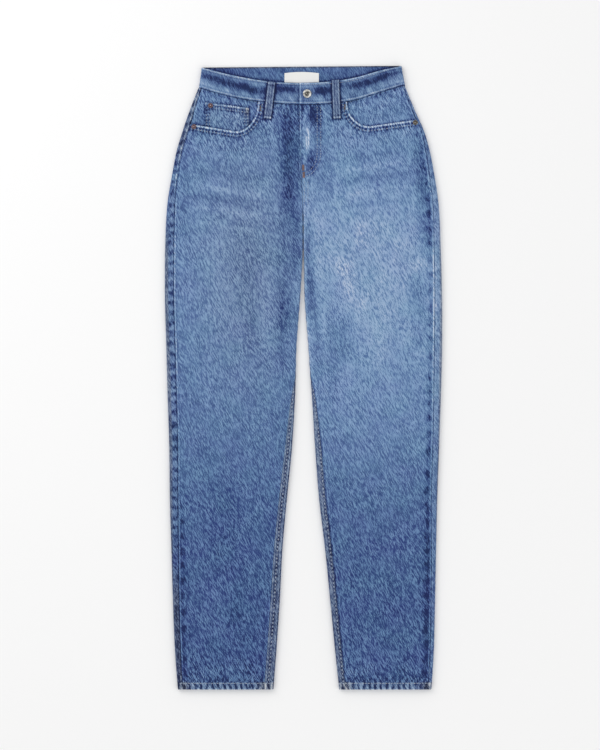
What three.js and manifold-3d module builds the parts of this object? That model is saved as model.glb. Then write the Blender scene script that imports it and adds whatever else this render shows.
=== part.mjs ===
// Tapered five-pocket jeans, laid flat with the front up. Millimetres.
// +Y runs towards the waist, +X towards the wearer's left, +Z up from the surface they lie on.
// A distance "out" is measured from the middle towards the side of the leg that it belongs to.

import * as THREE from "three";
import { mergeVertices } from "three/addons/utils/BufferGeometryUtils.js";
import Module from "manifold-3d";

const wasm = await Module();
wasm.setup();

// Cloth, and the gaps at seams and between layers
const denim = 1.5;
const seamGap = 0.3;
const layGap = 0.4;
const halfGap = seamGap / 2;
const layHeight = 6.9;

// Waistband: its back part, the underlap and the overlap lie on each other
const bandWall = 2.4;
const bandHeight = 8.0;
const backBandDepth = 36;
const bandLapX = 18;
const bandEndX = -6.85;
const bandDip = bandWall + layGap;

// Hem: a double turning, thicker and a little proud
const hemLevel = -525;
const hemTop = -513;
const hemWall = 2.6;
const hemRise = 0.5;

// Crotch: the legs begin to part at the top level and are whole tubes from the lower one down
const crotchTop = 300;
const crotchPoint = 262;
const seatTop = 380;

// Fly: the left front laps over the right one above its lower end
const flyEnd = 335;
const flyRise = 15;
const flyLap = 12;
const flyDip = denim + layGap;

// Pockets
const facingWall = 1.2;
const facingHidden = 12;
const coinWall = 1.2;
const coinHidden = 10;
const mouthFoot = 380;
const patchWall = 1.2;
const patch = { out: 95, width: 138, top: 398, shoulder: 288, tip: 255, slant: 6 };

const cloth = (color) => new THREE.MeshStandardMaterial({ color, roughness: 0.92, metalness: 0 });
const materials = {
  front: cloth(0x5b7eb3),
  back: cloth(0x54759f),
  band: cloth(0x4a6a9f),
  trim: cloth(0x6f86ad),
  label: cloth(0xf1f1ee),
  nickel: new THREE.MeshStandardMaterial({ color: 0xc9c8c4, roughness: 0.3, metalness: 1 }),
  copper: new THREE.MeshStandardMaterial({ color: 0x9a5f42, roughness: 0.4, metalness: 1 }),
};

const jeans = new THREE.Group();

const mix = (a, b, t) => a + (b - a) * t;
const clamp01 = (t) => Math.min(1, Math.max(0, t));

// Goes smoothly from 0 at start to 1 at end.
function ease(t, start, end) {
  const s = clamp01((t - start) / (end - start));
  return s * s * (3 - 2 * s);
}

// A table with named columns, read at any value of its first column by a smooth curve through its rows.
function table(names, rows) {
  const slope = (column, i) => {
    const before = rows[Math.max(i - 1, 0)];
    const after = rows[Math.min(i + 1, rows.length - 1)];
    return (after[column] - before[column]) / (after[0] - before[0]);
  };
  return (name, at) => {
    const column = names.indexOf(name);
    let i = 0;
    while (i < rows.length - 2 && rows[i + 1][0] < at) i++;
    const step = rows[i + 1][0] - rows[i][0];
    const t = clamp01((at - rows[i][0]) / step);
    const near = (2 * t ** 3 - 3 * t ** 2 + 1) * rows[i][column];
    const far = (3 * t ** 2 - 2 * t ** 3) * rows[i + 1][column];
    const nearBend = (t ** 3 - 2 * t ** 2 + t) * step * slope(column, i);
    const farBend = (t ** 3 - t ** 2) * step * slope(column, i + 1);
    return near + far + nearBend + farBend;
  };
}

// Each row is a section across a leg: its level, how far out its outer fold and its inner edge lie, and how
// far the outseam and the inseam show inside those edges. Above the crotch the inner edge is the centre front.
const sectionColumns = ["level", "outer", "inner", "outseam", "inseam"];

const rightLeg = {
  side: -1,
  read: table(sectionColumns, [
    [-525, 211.5, 50.5, 8.5, 15.5],
    [-460, 216.5, 45.5, 9.5, 15.5],
    [-375, 220, 39.8, 10.5, 15],
    [-290, 222.5, 35.4, 12, 14],
    [-205, 225, 27.8, 13.5, 13],
    [-120, 226, 19.4, 14.5, 11.5],
    [-40, 228.5, 14.3, 15, 7],
    [10, 230, 12.5, 15, 0],
    [50, 231, 11.5, 15, 0],
    [130, 233.4, 5.5, 15, 0],
    [200, 233.4, 1.3, 15, 0],
    [225, 232.8, 0.7, 14.6, 0],
    [262, 231.5, 0.6, 14, 0],
    [300, 228.3, 1.5, 12.5, 0],
    [340, 221.5, 3.5, 10, 0],
    [380, 214, 5, 9.5, 0],
    [415, 203.5, 6, 9.3, 0],
    [450, 191.5, 6.5, 8, 0],
    [490, 176, 7, 5, 0],
  ]),
};

const leftLeg = {
  side: 1,
  read: table(sectionColumns, [
    [-525, 215.5, 59.8, 6, 10.5],
    [-460, 219.5, 53, 6.5, 11],
    [-375, 221.6, 44.7, 7, 11],
    [-290, 223.3, 36.2, 8, 11],
    [-205, 225.3, 26.1, 10.5, 11],
    [-120, 228.3, 19.4, 11, 10.5],
    [-40, 231, 14.3, 12, 6],
    [10, 232.5, 10.5, 13, 0],
    [50, 233.4, 8, 13.3, 0],
    [130, 233.4, 1.6, 12.5, 0],
    [200, 231.7, 0.3, 11.5, 0],
    [225, 230.8, -0.6, 11.1, 0],
    [262, 229.5, -0.6, 10.5, 0],
    [300, 226.6, -1.5, 9.5, 0],
    [340, 220.5, -3.5, 8.5, 0],
    [380, 213, -5, 7, 0],
    [415, 203, -6, 5, 0],
    [450, 187.5, -6.5, 4.2, 0],
    [490, 170.9, -7, 3.8, 0],
  ]),
};

// The front waistline dips in the middle: the waistband's top edge and the seam below it, across the front.
const waistline = table(["x", "top", "seam"], [
  [-176, 522.5, 487.5],
  [-118, 508, 471.5],
  [-62, 498.5, 463],
  [-7, 495.5, 459.5],
  [47, 498, 461],
  [89, 505, 467.5],
  [130, 516.5, 480],
  [171, 525, 492.5],
]);
const backTop = (x) => 523.5 + x / 114;

// How far out the waistband reaches at its seam and at its top edge.
const bandSides = { right: { side: -1, seam: 176, top: 171.5 }, left: { side: 1, seam: 171, top: 165 } };

// Pocket mouths: a steep inner end that turns through a quarter ellipse into a nearly level edge.
const rightMouth = { leg: rightLeg, inner: 76.7, turn: 114, low: 414.2, sideOut: 190, side: 426.5 };
const leftMouth = { leg: leftLeg, inner: 73.3, turn: 111.4, low: 422.8, sideOut: 190, side: 434 };

// Coin pocket, on the right facing: how far out its edges lie, and its slanting top.
const coin = { inner: 92, outer: 165, innerTop: 453.6, outerTop: 463 };

// Button and its hole, in the overlap
const button = { x: 6.2, y: 477.3, radius: 7.25, shank: 1.3 };
const slotSize = { fromX: 1, toX: 17, halfWidth: 1.6 };

// Belt loops: the middle of their upper and lower ends
const loopHalfWidth = 6.75;
const loopWall = 1.8;
const rightLoop = { topX: -53.4, topY: 497, bottomX: -60.7, bottomY: 435.5 };
const leftLoop = { topX: 53.6, topY: 500.5, bottomX: 56.4, bottomY: 435.5 };

// Rivets: at the coin pocket's upper corner and at the side end of each pocket mouth
const rivetPlaces = {
  rivet_coin: { x: -156.5, y: 457.5 },
  rivet_pocket_right: { x: -184.5, y: 422 },
  rivet_pocket_left: { x: 188, y: 429 },
};

// Label inside the waistband
const labelSize = { left: -32, right: 26, top: 512.5, arch: 2, wall: 1.0 };

// The largest folds: soft troughs between two points, across which the cloth dips.
const troughColumns = ["fromX", "fromY", "toX", "toY", "halfWidth", "depth"];
const troughs = [
  [-24, 452, -20, 285, 12, 1.1],
  [31, 440, 27, 300, 11, 0.7],
  [190, 405, 208, 262, 14, 0.9],
  [-28, 190, -52, -60, 16, 1.0],
  [44, 160, 58, -20, 15, 0.7],
  [-120, 360, -190, 300, 15, 0.6],
].map((row) => Object.fromEntries(row.map((value, i) => [troughColumns[i], value])));

// How far the troughs take the top of the cloth down at a point.
function troughAt(x, y) {
  let dip = 0;
  for (const t of troughs) {
    const dx = t.toX - t.fromX;
    const dy = t.toY - t.fromY;
    const length = Math.hypot(dx, dy);
    const along = ((x - t.fromX) * dx + (y - t.fromY) * dy) / length ** 2;
    const across = ((x - t.fromX) * dy - (y - t.fromY) * dx) / length;
    dip += t.depth * ease(along, 0, 0.25) * ease(along, 1, 0.75) * ease(Math.abs(across), t.halfWidth, 0);
  }
  return dip;
}

// One leg's section at a level, as a flattened ring: a top, a bottom and two round folds. Its lengths run
// along the outer skin. The inner edge is the centre front's, moved inwards by a lap, or the centre back's.
function sectionAt(leg, level, lap = 0, back = false) {
  const height = layHeight + (level < hemTop ? hemRise : 0);
  const fold = height / 2;
  const parted = ease(level, crotchTop, crotchPoint);
  const innerFold = parted * fold;
  const outer = leg.read("outer", level);
  const toCentre = back ? 1 - ease(level, crotchTop, seatTop) : 1;
  const inner = leg.read("inner", level) * toCentre - lap + halfGap;
  const quarter = (fold * Math.PI) / 2;
  const innerQuarter = (innerFold * Math.PI) / 2;
  const flat = outer - fold - inner - innerFold;
  const seamRun = (inset) => (inset < fold ? fold * Math.acos(1 - inset / fold) : quarter + inset - fold);
  return {
    leg, level, height, fold, parted, innerFold, outer, inner, quarter, innerQuarter, flat,
    half: quarter + flat + innerQuarter,
    outseam: seamRun(leg.read("outseam", level)),
    inseam: parted * seamRun(leg.read("inseam", level)),
  };
}

// A point on the ring, run millimetres from the outer fold's edge: below it going under, or above it where
// run is negative. Past the inner edge the run comes up over the top.
function ringPoint(section, run) {
  const { fold, innerFold, quarter, flat, outer, inner, height, parted, half, leg, level } = section;
  const upper = run < 0 || run > half;
  const along = run < 0 ? -run : run > half ? 2 * half - run : run;
  const found = { out: outer - fold - (along - quarter), drop: 0, outwards: 0, upwards: 1 };
  if (along < quarter) {
    const turn = along / fold;
    found.out = outer - fold * (1 - Math.cos(turn));
    found.drop = fold * (1 - Math.sin(turn));
    found.outwards = Math.cos(turn);
    found.upwards = Math.sin(turn);
  } else if (along > quarter + flat && innerFold > 0) {
    const turn = (along - quarter - flat) / innerFold;
    found.out = inner + innerFold * (1 - Math.sin(turn));
    found.drop = innerFold * (1 - Math.cos(turn));
    found.outwards = -Math.sin(turn * parted);
    found.upwards = Math.cos(turn * parted);
  }
  const x = leg.side * found.out;
  const fromFold = Math.min(along - quarter, quarter + flat - along) / fold;
  const dip = upper ? troughAt(x, level) * ease(fromFold, 0, 2) : 0;
  const z = upper ? height - found.drop - dip : found.drop;
  const rise = upper ? found.upwards : -found.upwards;
  const normal = new THREE.Vector3(leg.side * found.outwards, 0, rise).normalize();
  return { out: found.out, point: new THREE.Vector3(x, level, z), normal };
}

// The level of a pocket mouth at a distance out, or of the same curve grown towards its hidden side.
function mouthLevel(mouth, out, grow = 0) {
  const inner = mouth.inner - grow;
  const top = waistline("seam", mouth.leg.side * mouth.inner);
  const low = mouth.low - grow;
  if (out <= inner) return top + facingHidden;
  if (out > mouth.turn) return mix(low, mouth.side - grow, (out - mouth.turn) / (mouth.sideOut - mouth.turn));
  const share = (out - inner) / (mouth.turn - inner);
  return top - (top - low) * Math.sqrt(1 - (1 - share) ** 2);
}

// The level where a rising test passes from below zero to above it.
function levelWhere(test, low, high) {
  for (let i = 0; i < 30; i++) {
    const middle = (low + high) / 2;
    if (test(middle) < 0) low = middle;
    else high = middle;
  }
  return (low + high) / 2;
}

// How much of a level at the side folds is the front's: none underneath, all of it on top.
const frontShare = (z) => clamp01(z / layHeight);

function waistSeam(point) {
  return mix(backTop(point.x) - backBandDepth, waistline("seam", point.x), frontShare(point.z));
}

// A closed wall from a grid of rows and columns: skinsAt gives the outer and the inner point of each.
function wall(rowCount, columnCount, skinsAt) {
  const outer = [];
  const inner = [];
  for (let i = 0; i < rowCount; i++)
    for (let j = 0; j < columnCount; j++) {
      const [outerPoint, innerPoint] = skinsAt(i, j);
      outer.push(...outerPoint.toArray());
      inner.push(...innerPoint.toArray());
    }
  const below = rowCount * columnCount;
  const index = [];
  const quad = (a, b, c, d) => index.push(a, b, c, a, c, d);
  const at = (i, j) => i * columnCount + j;
  for (let i = 0; i < rowCount - 1; i++)
    for (let j = 0; j < columnCount - 1; j++) {
      const [a, b, c, d] = [at(i, j), at(i, j + 1), at(i + 1, j + 1), at(i + 1, j)];
      quad(a, b, c, d);
      quad(below + d, below + c, below + b, below + a);
    }
  const rim = [];
  for (let j = 0; j < columnCount - 1; j++) rim.push(at(0, j));
  for (let i = 0; i < rowCount - 1; i++) rim.push(at(i, columnCount - 1));
  for (let j = columnCount - 1; j > 0; j--) rim.push(at(rowCount - 1, j));
  for (let i = rowCount - 1; i > 0; i--) rim.push(at(i, 0));
  rim.forEach((a, k) => {
    const b = rim[(k + 1) % rim.length];
    quad(b, a, below + a, below + b);
  });
  const geometry = new THREE.BufferGeometry();
  geometry.setAttribute("position", new THREE.Float32BufferAttribute([...outer, ...inner], 3));
  geometry.setIndex(index);
  return facingOut(geometry);
}

// The same geometry, with its faces turned round if they point inwards.
function facingOut(geometry) {
  const position = geometry.attributes.position;
  const index = geometry.index.array;
  const corner = [0, 1, 2].map(() => new THREE.Vector3());
  let volume = 0;
  for (let i = 0; i < index.length; i += 3) {
    corner.forEach((point, k) => point.fromBufferAttribute(position, index[i + k]));
    volume += corner[0].dot(corner[1].cross(corner[2]));
  }
  if (volume < 0) for (let i = 0; i < index.length; i += 3) [index[i], index[i + 1]] = [index[i + 1], index[i]];
  return geometry;
}

const moved = (point, normal, distance) => point.clone().addScaledVector(normal, distance);
const skins = (found, thickness) => [found.point, moved(found.point, found.normal, -thickness)];
const wallAt = (level) => (level < hemTop ? hemWall : denim);

function add(name, geometry, material) {
  const mesh = new THREE.Mesh(geometry, material);
  mesh.name = name;
  jeans.add(mesh);
}

function solidOf(geometry) {
  const plain = geometry.clone();
  plain.deleteAttribute("normal");
  plain.deleteAttribute("uv");
  const merged = mergeVertices(plain, 1e-4);
  const vertProperties = new Float32Array(merged.attributes.position.array);
  const triVerts = new Uint32Array(merged.index.array);
  return new wasm.Manifold(new wasm.Mesh({ numProp: 3, vertProperties, triVerts }));
}

function geometryOf(solid) {
  const mesh = solid.getMesh();
  const geometry = new THREE.BufferGeometry();
  geometry.setAttribute("position", new THREE.BufferAttribute(mesh.vertProperties, 3));
  geometry.setIndex(new THREE.BufferAttribute(mesh.triVerts, 1));
  return geometry;
}

// An outline in X and Y, raised from one height to another.
function plate(points, bottom, top) {
  const outline = new THREE.Shape(points.map(([x, y]) => new THREE.Vector2(x, y)));
  const depth = top - bottom;
  return new THREE.ExtrudeGeometry(outline, { depth, bevelEnabled: false }).translate(0, 0, bottom);
}

// A round piece on an upright axis, from its profile of radius and height.
function turned(profile, segments, x, y, z) {
  const points = profile.map(([radius, height]) => new THREE.Vector2(radius, height));
  return new THREE.LatheGeometry(points, segments).rotateX(Math.PI / 2).translate(x, y, z);
}

// Rows of every leg panel, from the hem up: close together at the hem and at the crotch.
const hemRows = [hemLevel, hemTop - 0.4, hemTop + 0.4];
const legRows = [-460, -375, -290, -205, -120, -40, 10, 50, 130, 200, 225];
const crotchRows = [crotchPoint, 272, 281, 290, crotchTop];
const flyRows = [flyEnd - 17, flyEnd - 8, flyEnd, flyEnd + flyRise / 2, flyEnd + flyRise];
const upperShares = [0.25, 0.5, 0.75, 1];

// Columns of a front: set distances round the inner fold and the fly, then places below the waist seam
// that are close together at the pocket mouth, then shares of the rest.
const flyRuns = [0, 1.4, 2.8, 4.2, 5.6, 8, 11, 14, 18, 22];
const besideFly = [25, 33, 45, 62];
const intoMouth = [-0.4, 0.5, 2.5, 6, 11, 18, 27];
const outerShares = [0, 0.25, 0.5, 0.75, 1];

function frontPoint(mouth, level, j) {
  const { leg } = mouth;
  const laps = leg === rightLeg;
  const lapAt = (at) => (laps ? flyLap * ease(at, flyEnd, flyEnd + flyRise) : 0);
  const lengthOf = (s) => s.half - s.inseam - s.outseam - halfGap * (1 + s.parted);
  const section = sectionAt(leg, level, lapAt(level));
  const foot = sectionAt(leg, mouthFoot, lapAt(mouthFoot));
  const length = lengthOf(section);
  const reach = (out) => {
    if (level >= mouthFoot) return out - section.inner;
    const last = flyRuns.at(-1);
    return mix(last, length, (out - foot.inner - last) / (lengthOf(foot) - last));
  };
  const places = [...besideFly, ...intoMouth.map((step) => mouth.inner + step)];
  let run = flyRuns[j];
  if (j >= flyRuns.length + places.length) {
    run = mix(reach(mouth.turn), length, outerShares[j - flyRuns.length - places.length]);
  } else if (j >= flyRuns.length) run = reach(places[j - flyRuns.length]);
  const start = section.half - section.inseam - halfGap * section.parted;
  const found = ringPoint(section, run - start);
  if (laps) {
    const centre = leg.read("inner", level);
    const dip = flyDip * ease(level, flyEnd - 17, flyEnd) * ease(found.out, centre + 10, centre + 2);
    found.point.z -= dip;
  }
  return found;
}

// A front, cut away at the pocket mouth.
function front(name, mouth) {
  const rows = [...hemRows, ...legRows, ...crotchRows, ...flyRows, mouthFoot];
  const columnCount = flyRuns.length + besideFly.length + intoMouth.length + outerShares.length;
  const topOf = (j) =>
    levelWhere((level) => {
      const found = frontPoint(mouth, level, j);
      const edge = Math.min(waistline("seam", found.point.x), mouthLevel(mouth, found.out));
      return level - edge + halfGap;
    }, mouthFoot, 500);
  const geometry = wall(rows.length + upperShares.length, columnCount, (i, j) => {
    const level = i < rows.length ? rows[i] : mix(mouthFoot, topOf(j), upperShares[i - rows.length]);
    return skins(frontPoint(mouth, level, j), wallAt(level));
  });
  add(name, geometry, materials.front);
}

// Columns of a back, as runs round the ring: from the outseam on top, round the outer fold, along the
// underside, and up round the inner fold to the inseam. Above the crotch that last stretch is a narrow strip.
const underShares = [0.06, 0.3, 0.55, 0.8, 0.95];
const riseSteps = 8;
const centreStrip = 0.4;

function backRuns(section) {
  const { quarter, half, innerQuarter, inseam, parted } = section;
  const lip = section.outseam - halfGap;
  const fold = Math.min(quarter, 0.85 * lip);
  const around = [-lip, -fold, -0.66 * fold, -0.33 * fold, 0, 0.33 * quarter, 0.66 * quarter, quarter];
  const underEnd = half - innerQuarter - centreStrip;
  const under = underShares.map((share) => mix(quarter, underEnd, share));
  const end = half + inseam - halfGap * parted;
  const rise = Array.from({ length: riseSteps + 1 }, (_, k) => mix(underEnd, end, k / riseSteps));
  return [...around, ...under, ...rise];
}

// The yoke seam falls from the side seam to the centre back.
const yokeLevel = (out) => mix(425, 467, clamp01(out / 185));

function backPoint(leg, level, j) {
  const section = sectionAt(leg, level, 0, true);
  return ringPoint(section, backRuns(section)[j]);
}

function patchOutline(leg, grow) {
  const centre = leg.side * patch.out;
  const half = patch.width / 2 + grow;
  return [
    [centre - half, patch.top + grow],
    [centre - half + patch.slant, patch.shoulder - grow / 2],
    [centre, patch.tip - grow],
    [centre + half - patch.slant, patch.shoulder - grow / 2],
    [centre + half, patch.top + grow],
  ];
}

// A back leg, with a thicker field under its patch pocket, so that the pocket lies flush.
function backLeg(name, leg) {
  const rows = [...hemRows, ...legRows, ...crotchRows, ...flyRows, seatTop];
  const columnCount = backRuns(sectionAt(leg, 0)).length;
  const shares = [0.2, 0.4, 0.6, 0.8, 1];
  const topOf = (j) =>
    levelWhere((level) => level - yokeLevel(backPoint(leg, level, j).out) + halfGap, seatTop, 480);
  const panel = wall(rows.length + shares.length, columnCount, (i, j) => {
    const level = i < rows.length ? rows[i] : mix(seatTop, topOf(j), shares[i - rows.length]);
    return skins(backPoint(leg, level, j), wallAt(level));
  });
  const field = solidOf(plate(patchOutline(leg, 3), denim / 2, 2 * denim));
  const recess = solidOf(plate(patchOutline(leg, seamGap), -denim, denim));
  add(name, geometryOf(solidOf(panel).add(field).subtract(recess)), materials.back);
}

function yoke(name, leg) {
  const columns = backRuns(sectionAt(leg, 0)).length - riseSteps;
  const shares = [0, 0.5, 1];
  const runAt = (level, j) => {
    const section = sectionAt(leg, level, 0, true);
    return ringPoint(section, j === columns - 1 ? section.half : backRuns(section)[j]);
  };
  const geometry = wall(shares.length, columns, (i, j) => {
    const low = levelWhere((level) => level - yokeLevel(runAt(level, j).out) - halfGap, seatTop, 480);
    const high = levelWhere((level) => level - waistSeam(runAt(level, j).point) + seamGap, seatTop, 505);
    return skins(runAt(mix(low, high, shares[i]), j), denim);
  });
  add(name, geometry, materials.back);
}

// How far a point lies from the pocket mouth's edge on the side where the facing shows, or 0 if hidden.
function pastMouth(mouth, out, level) {
  if (level <= mouthLevel(mouth, out)) return 0;
  const steps = 24;
  const reachOut = mouth.sideOut + 20;
  let nearest = Infinity;
  for (let k = 1; k <= steps; k++) {
    const edgeOut = mix(mouth.inner, reachOut, (k / steps) ** 2);
    nearest = Math.min(nearest, Math.hypot(out - edgeOut, level - mouthLevel(mouth, edgeOut)));
  }
  return nearest;
}

// How far a facing lies below the front's top: under the mouth's edge by the layers above it, and rising
// almost level with the front away from it.
function facingDrop(mouth, out, level) {
  const coinLayer = mouth === rightMouth ? coinWall + layGap : 0;
  const besideCoin = ease(out, coin.inner - 14, coin.inner - 2) * ease(out, coin.outer + 19, coin.outer + 5);
  const riseWidth = 28;
  const riseShare = 0.9;
  const rise = riseShare * ease(pastMouth(mouth, out, level), 0, riseWidth);
  return (flyDip + coinLayer * besideCoin) * (1 - rise);
}

function facing(name, mouth) {
  const { leg } = mouth;
  const columns = 15;
  const rows = 10;
  const start = mouth.inner - facingHidden + denim;
  const crowding = 1.25;
  const outAt = (level, j) => {
    const sideSeam = leg.read("outer", level) - leg.read("outseam", level) - halfGap;
    return mix(start, sideSeam, (j / (columns - 1)) ** crowding);
  };
  const geometry = wall(rows, columns, (i, j) => {
    const low = levelWhere((level) => level - mouthLevel(mouth, outAt(level, j), facingHidden), mouthFoot, 480);
    const seam = (level) => waistline("seam", leg.side * outAt(level, j)) - halfGap;
    const high = levelWhere((level) => level - seam(level), mouthFoot, 505);
    const level = mix(low, high, i / (rows - 1));
    const out = outAt(level, j);
    const z = layHeight - facingDrop(mouth, out, level);
    const x = leg.side * out;
    return [new THREE.Vector3(x, level, z), new THREE.Vector3(x, level, z - facingWall)];
  });
  add(name, geometry, materials.front);
}

// The height of the coin pocket's outer face.
function coinHeight(out, level) {
  return layHeight - facingDrop(rightMouth, out, level) + layGap + coinWall;
}

function coinPocket(name) {
  const columns = 10;
  const rows = 7;
  const geometry = wall(rows, columns, (i, j) => {
    const out = mix(coin.inner, coin.outer, j / (columns - 1));
    const low = mouthLevel(rightMouth, out) - coinHidden;
    const high = mix(coin.innerTop, coin.outerTop, j / (columns - 1));
    const level = mix(low, high, i / (rows - 1));
    const z = coinHeight(out, level);
    return [new THREE.Vector3(-out, level, z), new THREE.Vector3(-out, level, z - coinWall)];
  });
  add(name, geometry, materials.trim);
}

// The waistband's columns, each a function of the share of its depth: from the end of the underlap on the
// wearer's right, round that side, across the back, round the left side and back to the overlap's end.
function waistband(name) {
  const fold = bandHeight / 2;
  const up = new THREE.Vector3(0, 0, 1);
  const reachAt = (end, share) => end.side * (mix(end.seam, end.top, share) - fold);
  const frontLevel = (x, share) => mix(waistline("seam", x) + halfGap, waistline("top", x), share);
  const backLevel = (x, share) => backTop(x) - (backBandDepth - halfGap) * (1 - share);
  const onFront = (x, share, dip) => ({
    point: new THREE.Vector3(x, frontLevel(x, share), bandHeight - dip),
    normal: up,
  });
  const onBack = (x, share) => ({
    point: new THREE.Vector3(x, backLevel(x, share), 0),
    normal: up.clone().negate(),
  });
  const onFold = (end, turn, share) => {
    const normal = new THREE.Vector3(end.side * Math.sin(turn), 0, Math.cos(turn));
    const point = moved(new THREE.Vector3(reachAt(end, share), 0, fold), normal, fold);
    point.y = mix(backLevel(point.x, share), frontLevel(point.x, share), frontShare(point.z));
    return { point, normal };
  };
  const turns = [0, 1, 2, 3, 4, 5, 6].map((k) => (k * Math.PI) / 6);
  const lapped = [bandLapX, 8, -3, -9, -11.5, -14, -16.5, -19, -40, -62, -90, -118, -146];
  const backXs = [-110, -40, 40, 110];
  const overlap = [146, 124, 106, 89, 68, 47, 20, bandEndX];
  const columns = [
    ...lapped.map((x) => (share) => onFront(x, share, bandDip * ease(x, -19, -9))),
    ...turns.map((turn) => (share) => onFold(bandSides.right, turn, share)),
    ...backXs.map((x) => (share) => onBack(x, share)),
    ...turns.toReversed().map((turn) => (share) => onFold(bandSides.left, turn, share)),
    ...overlap.map((x) => (share) => onFront(x, share, 0)),
  ];
  const shares = [0, 0.5, 1];
  const band = wall(shares.length, columns.length, (i, j) => skins(columns[j](shares[i]), bandWall));
  const slot = solidOf(plate(slotOutline(), bandHeight - bandWall - layGap / 2, bandHeight + 1));
  add(name, geometryOf(solidOf(band).subtract(slot)), materials.band);
}

function slotOutline() {
  const points = [];
  const { fromX, toX, halfWidth } = slotSize;
  for (const [x, start] of [[toX - halfWidth, -Math.PI / 2], [fromX + halfWidth, Math.PI / 2]])
    for (let k = 0; k <= 6; k++) {
      const turn = start + (k * Math.PI) / 6;
      points.push([x + halfWidth * Math.cos(turn), button.y + halfWidth * Math.sin(turn)]);
    }
  return points;
}

// A jeans button: a rimmed cap on a shank that comes up through the hole from the underlap.
function waistButton(name) {
  const { shank } = button;
  const shankFoot = bandHeight - bandDip + seamGap;
  const capFoot = bandHeight + seamGap;
  const profile = [
    [0, shankFoot],
    [shank, shankFoot],
    [shank, capFoot],
    [6.4, capFoot],
    [button.radius, capFoot + 0.7],
    [button.radius, capFoot + 1.6],
    [6.6, capFoot + 2.4],
    [5.6, capFoot + 2.7],
    [4.6, capFoot + 2.3],
    [4.0, capFoot + 1.5],
    [2.6, capFoot + 1.6],
    [1.2, capFoot + 1.9],
    [0, capFoot + 2.0],
  ];
  add(name, turned(profile, 32, button.x, button.y, 0), materials.nickel);
}

// A rivet: a domed burr with a raised tip, resting just above the cloth.
function rivet(name, surface) {
  const profile = [[0, 0], [4.2, 0], [4.2, 0.35], [3.5, 0.95], [2.2, 1.25], [1.7, 1.3], [1.3, 1.75], [0, 1.9]];
  const { x, y } = rivetPlaces[name];
  add(name, turned(profile, 20, x, y, surface + seamGap), materials.copper);
}

// A belt loop: a strip over the waistband that steps down to the front below it.
function beltLoop(name, loop) {
  const seam = waistline("seam", loop.bottomX);
  const heightAt = (level) => mix(layHeight, bandHeight, ease(level, seam - 7, seam - 1)) + seamGap;
  const levels = [loop.bottomY, seam - 7, seam - 5, seam - 4, seam - 3, seam - 1, loop.topY];
  const along = new THREE.Vector2(loop.topX - loop.bottomX, loop.topY - loop.bottomY);
  const across = new THREE.Vector2(along.y, -along.x).normalize();
  const geometry = wall(levels.length, 2, (i, j) => {
    const share = (levels[i] - loop.bottomY) / along.y;
    const step = (j === 0 ? -1 : 1) * loopHalfWidth;
    const x = loop.bottomX + along.x * share + across.x * step;
    const y = levels[i] + across.y * step;
    const z = heightAt(levels[i]);
    return [new THREE.Vector3(x, y, z + loopWall), new THREE.Vector3(x, y, z)];
  });
  add(name, geometry, materials.trim);
}

// The label: a bare rectangle with a slightly arched top, on the inside of the back of the waistband.
function label(name) {
  const bottom = bandWall + seamGap;
  const steps = 8;
  const lower = [];
  const upper = [];
  for (let k = 0; k <= steps; k++) {
    const x = mix(labelSize.left, labelSize.right, k / steps);
    lower.push([x, waistline("top", x) + 2 * seamGap]);
    upper.unshift([x, labelSize.top + labelSize.arch * Math.sin((Math.PI * k) / steps)]);
  }
  add(name, plate([...lower, ...upper], bottom, bottom + labelSize.wall), materials.label);
}

front("front_right", rightMouth);
front("front_left", leftMouth);
facing("pocket_facing_right", rightMouth);
facing("pocket_facing_left", leftMouth);
coinPocket("coin_pocket");
backLeg("back_right", rightLeg);
backLeg("back_left", leftLeg);
yoke("yoke_right", rightLeg);
yoke("yoke_left", leftLeg);
add("back_pocket_right", plate(patchOutline(rightLeg, 0), 0, patchWall), materials.back);
add("back_pocket_left", plate(patchOutline(leftLeg, 0), 0, patchWall), materials.back);
waistband("waistband");
beltLoop("belt_loop_right", rightLoop);
beltLoop("belt_loop_left", leftLoop);
waistButton("waist_button");
rivet("rivet_coin", coinHeight(-rivetPlaces.rivet_coin.x, rivetPlaces.rivet_coin.y));
rivet("rivet_pocket_right", layHeight);
rivet("rivet_pocket_left", layHeight);
label("label");

export default jeans;
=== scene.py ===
# Tapered jeans laid flat with the front up, dressed as washed denim. Shapes are worked out in millimetres,
# in the CAD part's frame: +Y towards the waist, +X towards the wearer's left, +Z up. "Out" is a distance from
# the middle towards the side of the leg that a piece belongs to.
import math
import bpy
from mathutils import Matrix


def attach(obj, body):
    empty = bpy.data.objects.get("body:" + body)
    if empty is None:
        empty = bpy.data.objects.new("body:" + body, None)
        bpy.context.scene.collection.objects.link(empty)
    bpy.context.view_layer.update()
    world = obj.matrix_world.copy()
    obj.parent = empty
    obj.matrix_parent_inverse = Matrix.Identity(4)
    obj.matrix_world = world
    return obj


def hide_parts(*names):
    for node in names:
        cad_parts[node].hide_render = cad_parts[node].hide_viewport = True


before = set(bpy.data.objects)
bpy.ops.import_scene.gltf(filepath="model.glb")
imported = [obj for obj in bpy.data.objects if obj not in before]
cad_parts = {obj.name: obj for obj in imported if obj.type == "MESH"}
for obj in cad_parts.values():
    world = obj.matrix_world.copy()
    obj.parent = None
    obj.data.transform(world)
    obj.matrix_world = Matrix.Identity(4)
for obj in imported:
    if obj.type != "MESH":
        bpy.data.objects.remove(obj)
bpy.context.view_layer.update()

from types import SimpleNamespace

import bpy
import numpy as np

MM = 0.001
# Further from a seam than any mark of it reaches
FAR = 99.0

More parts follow.
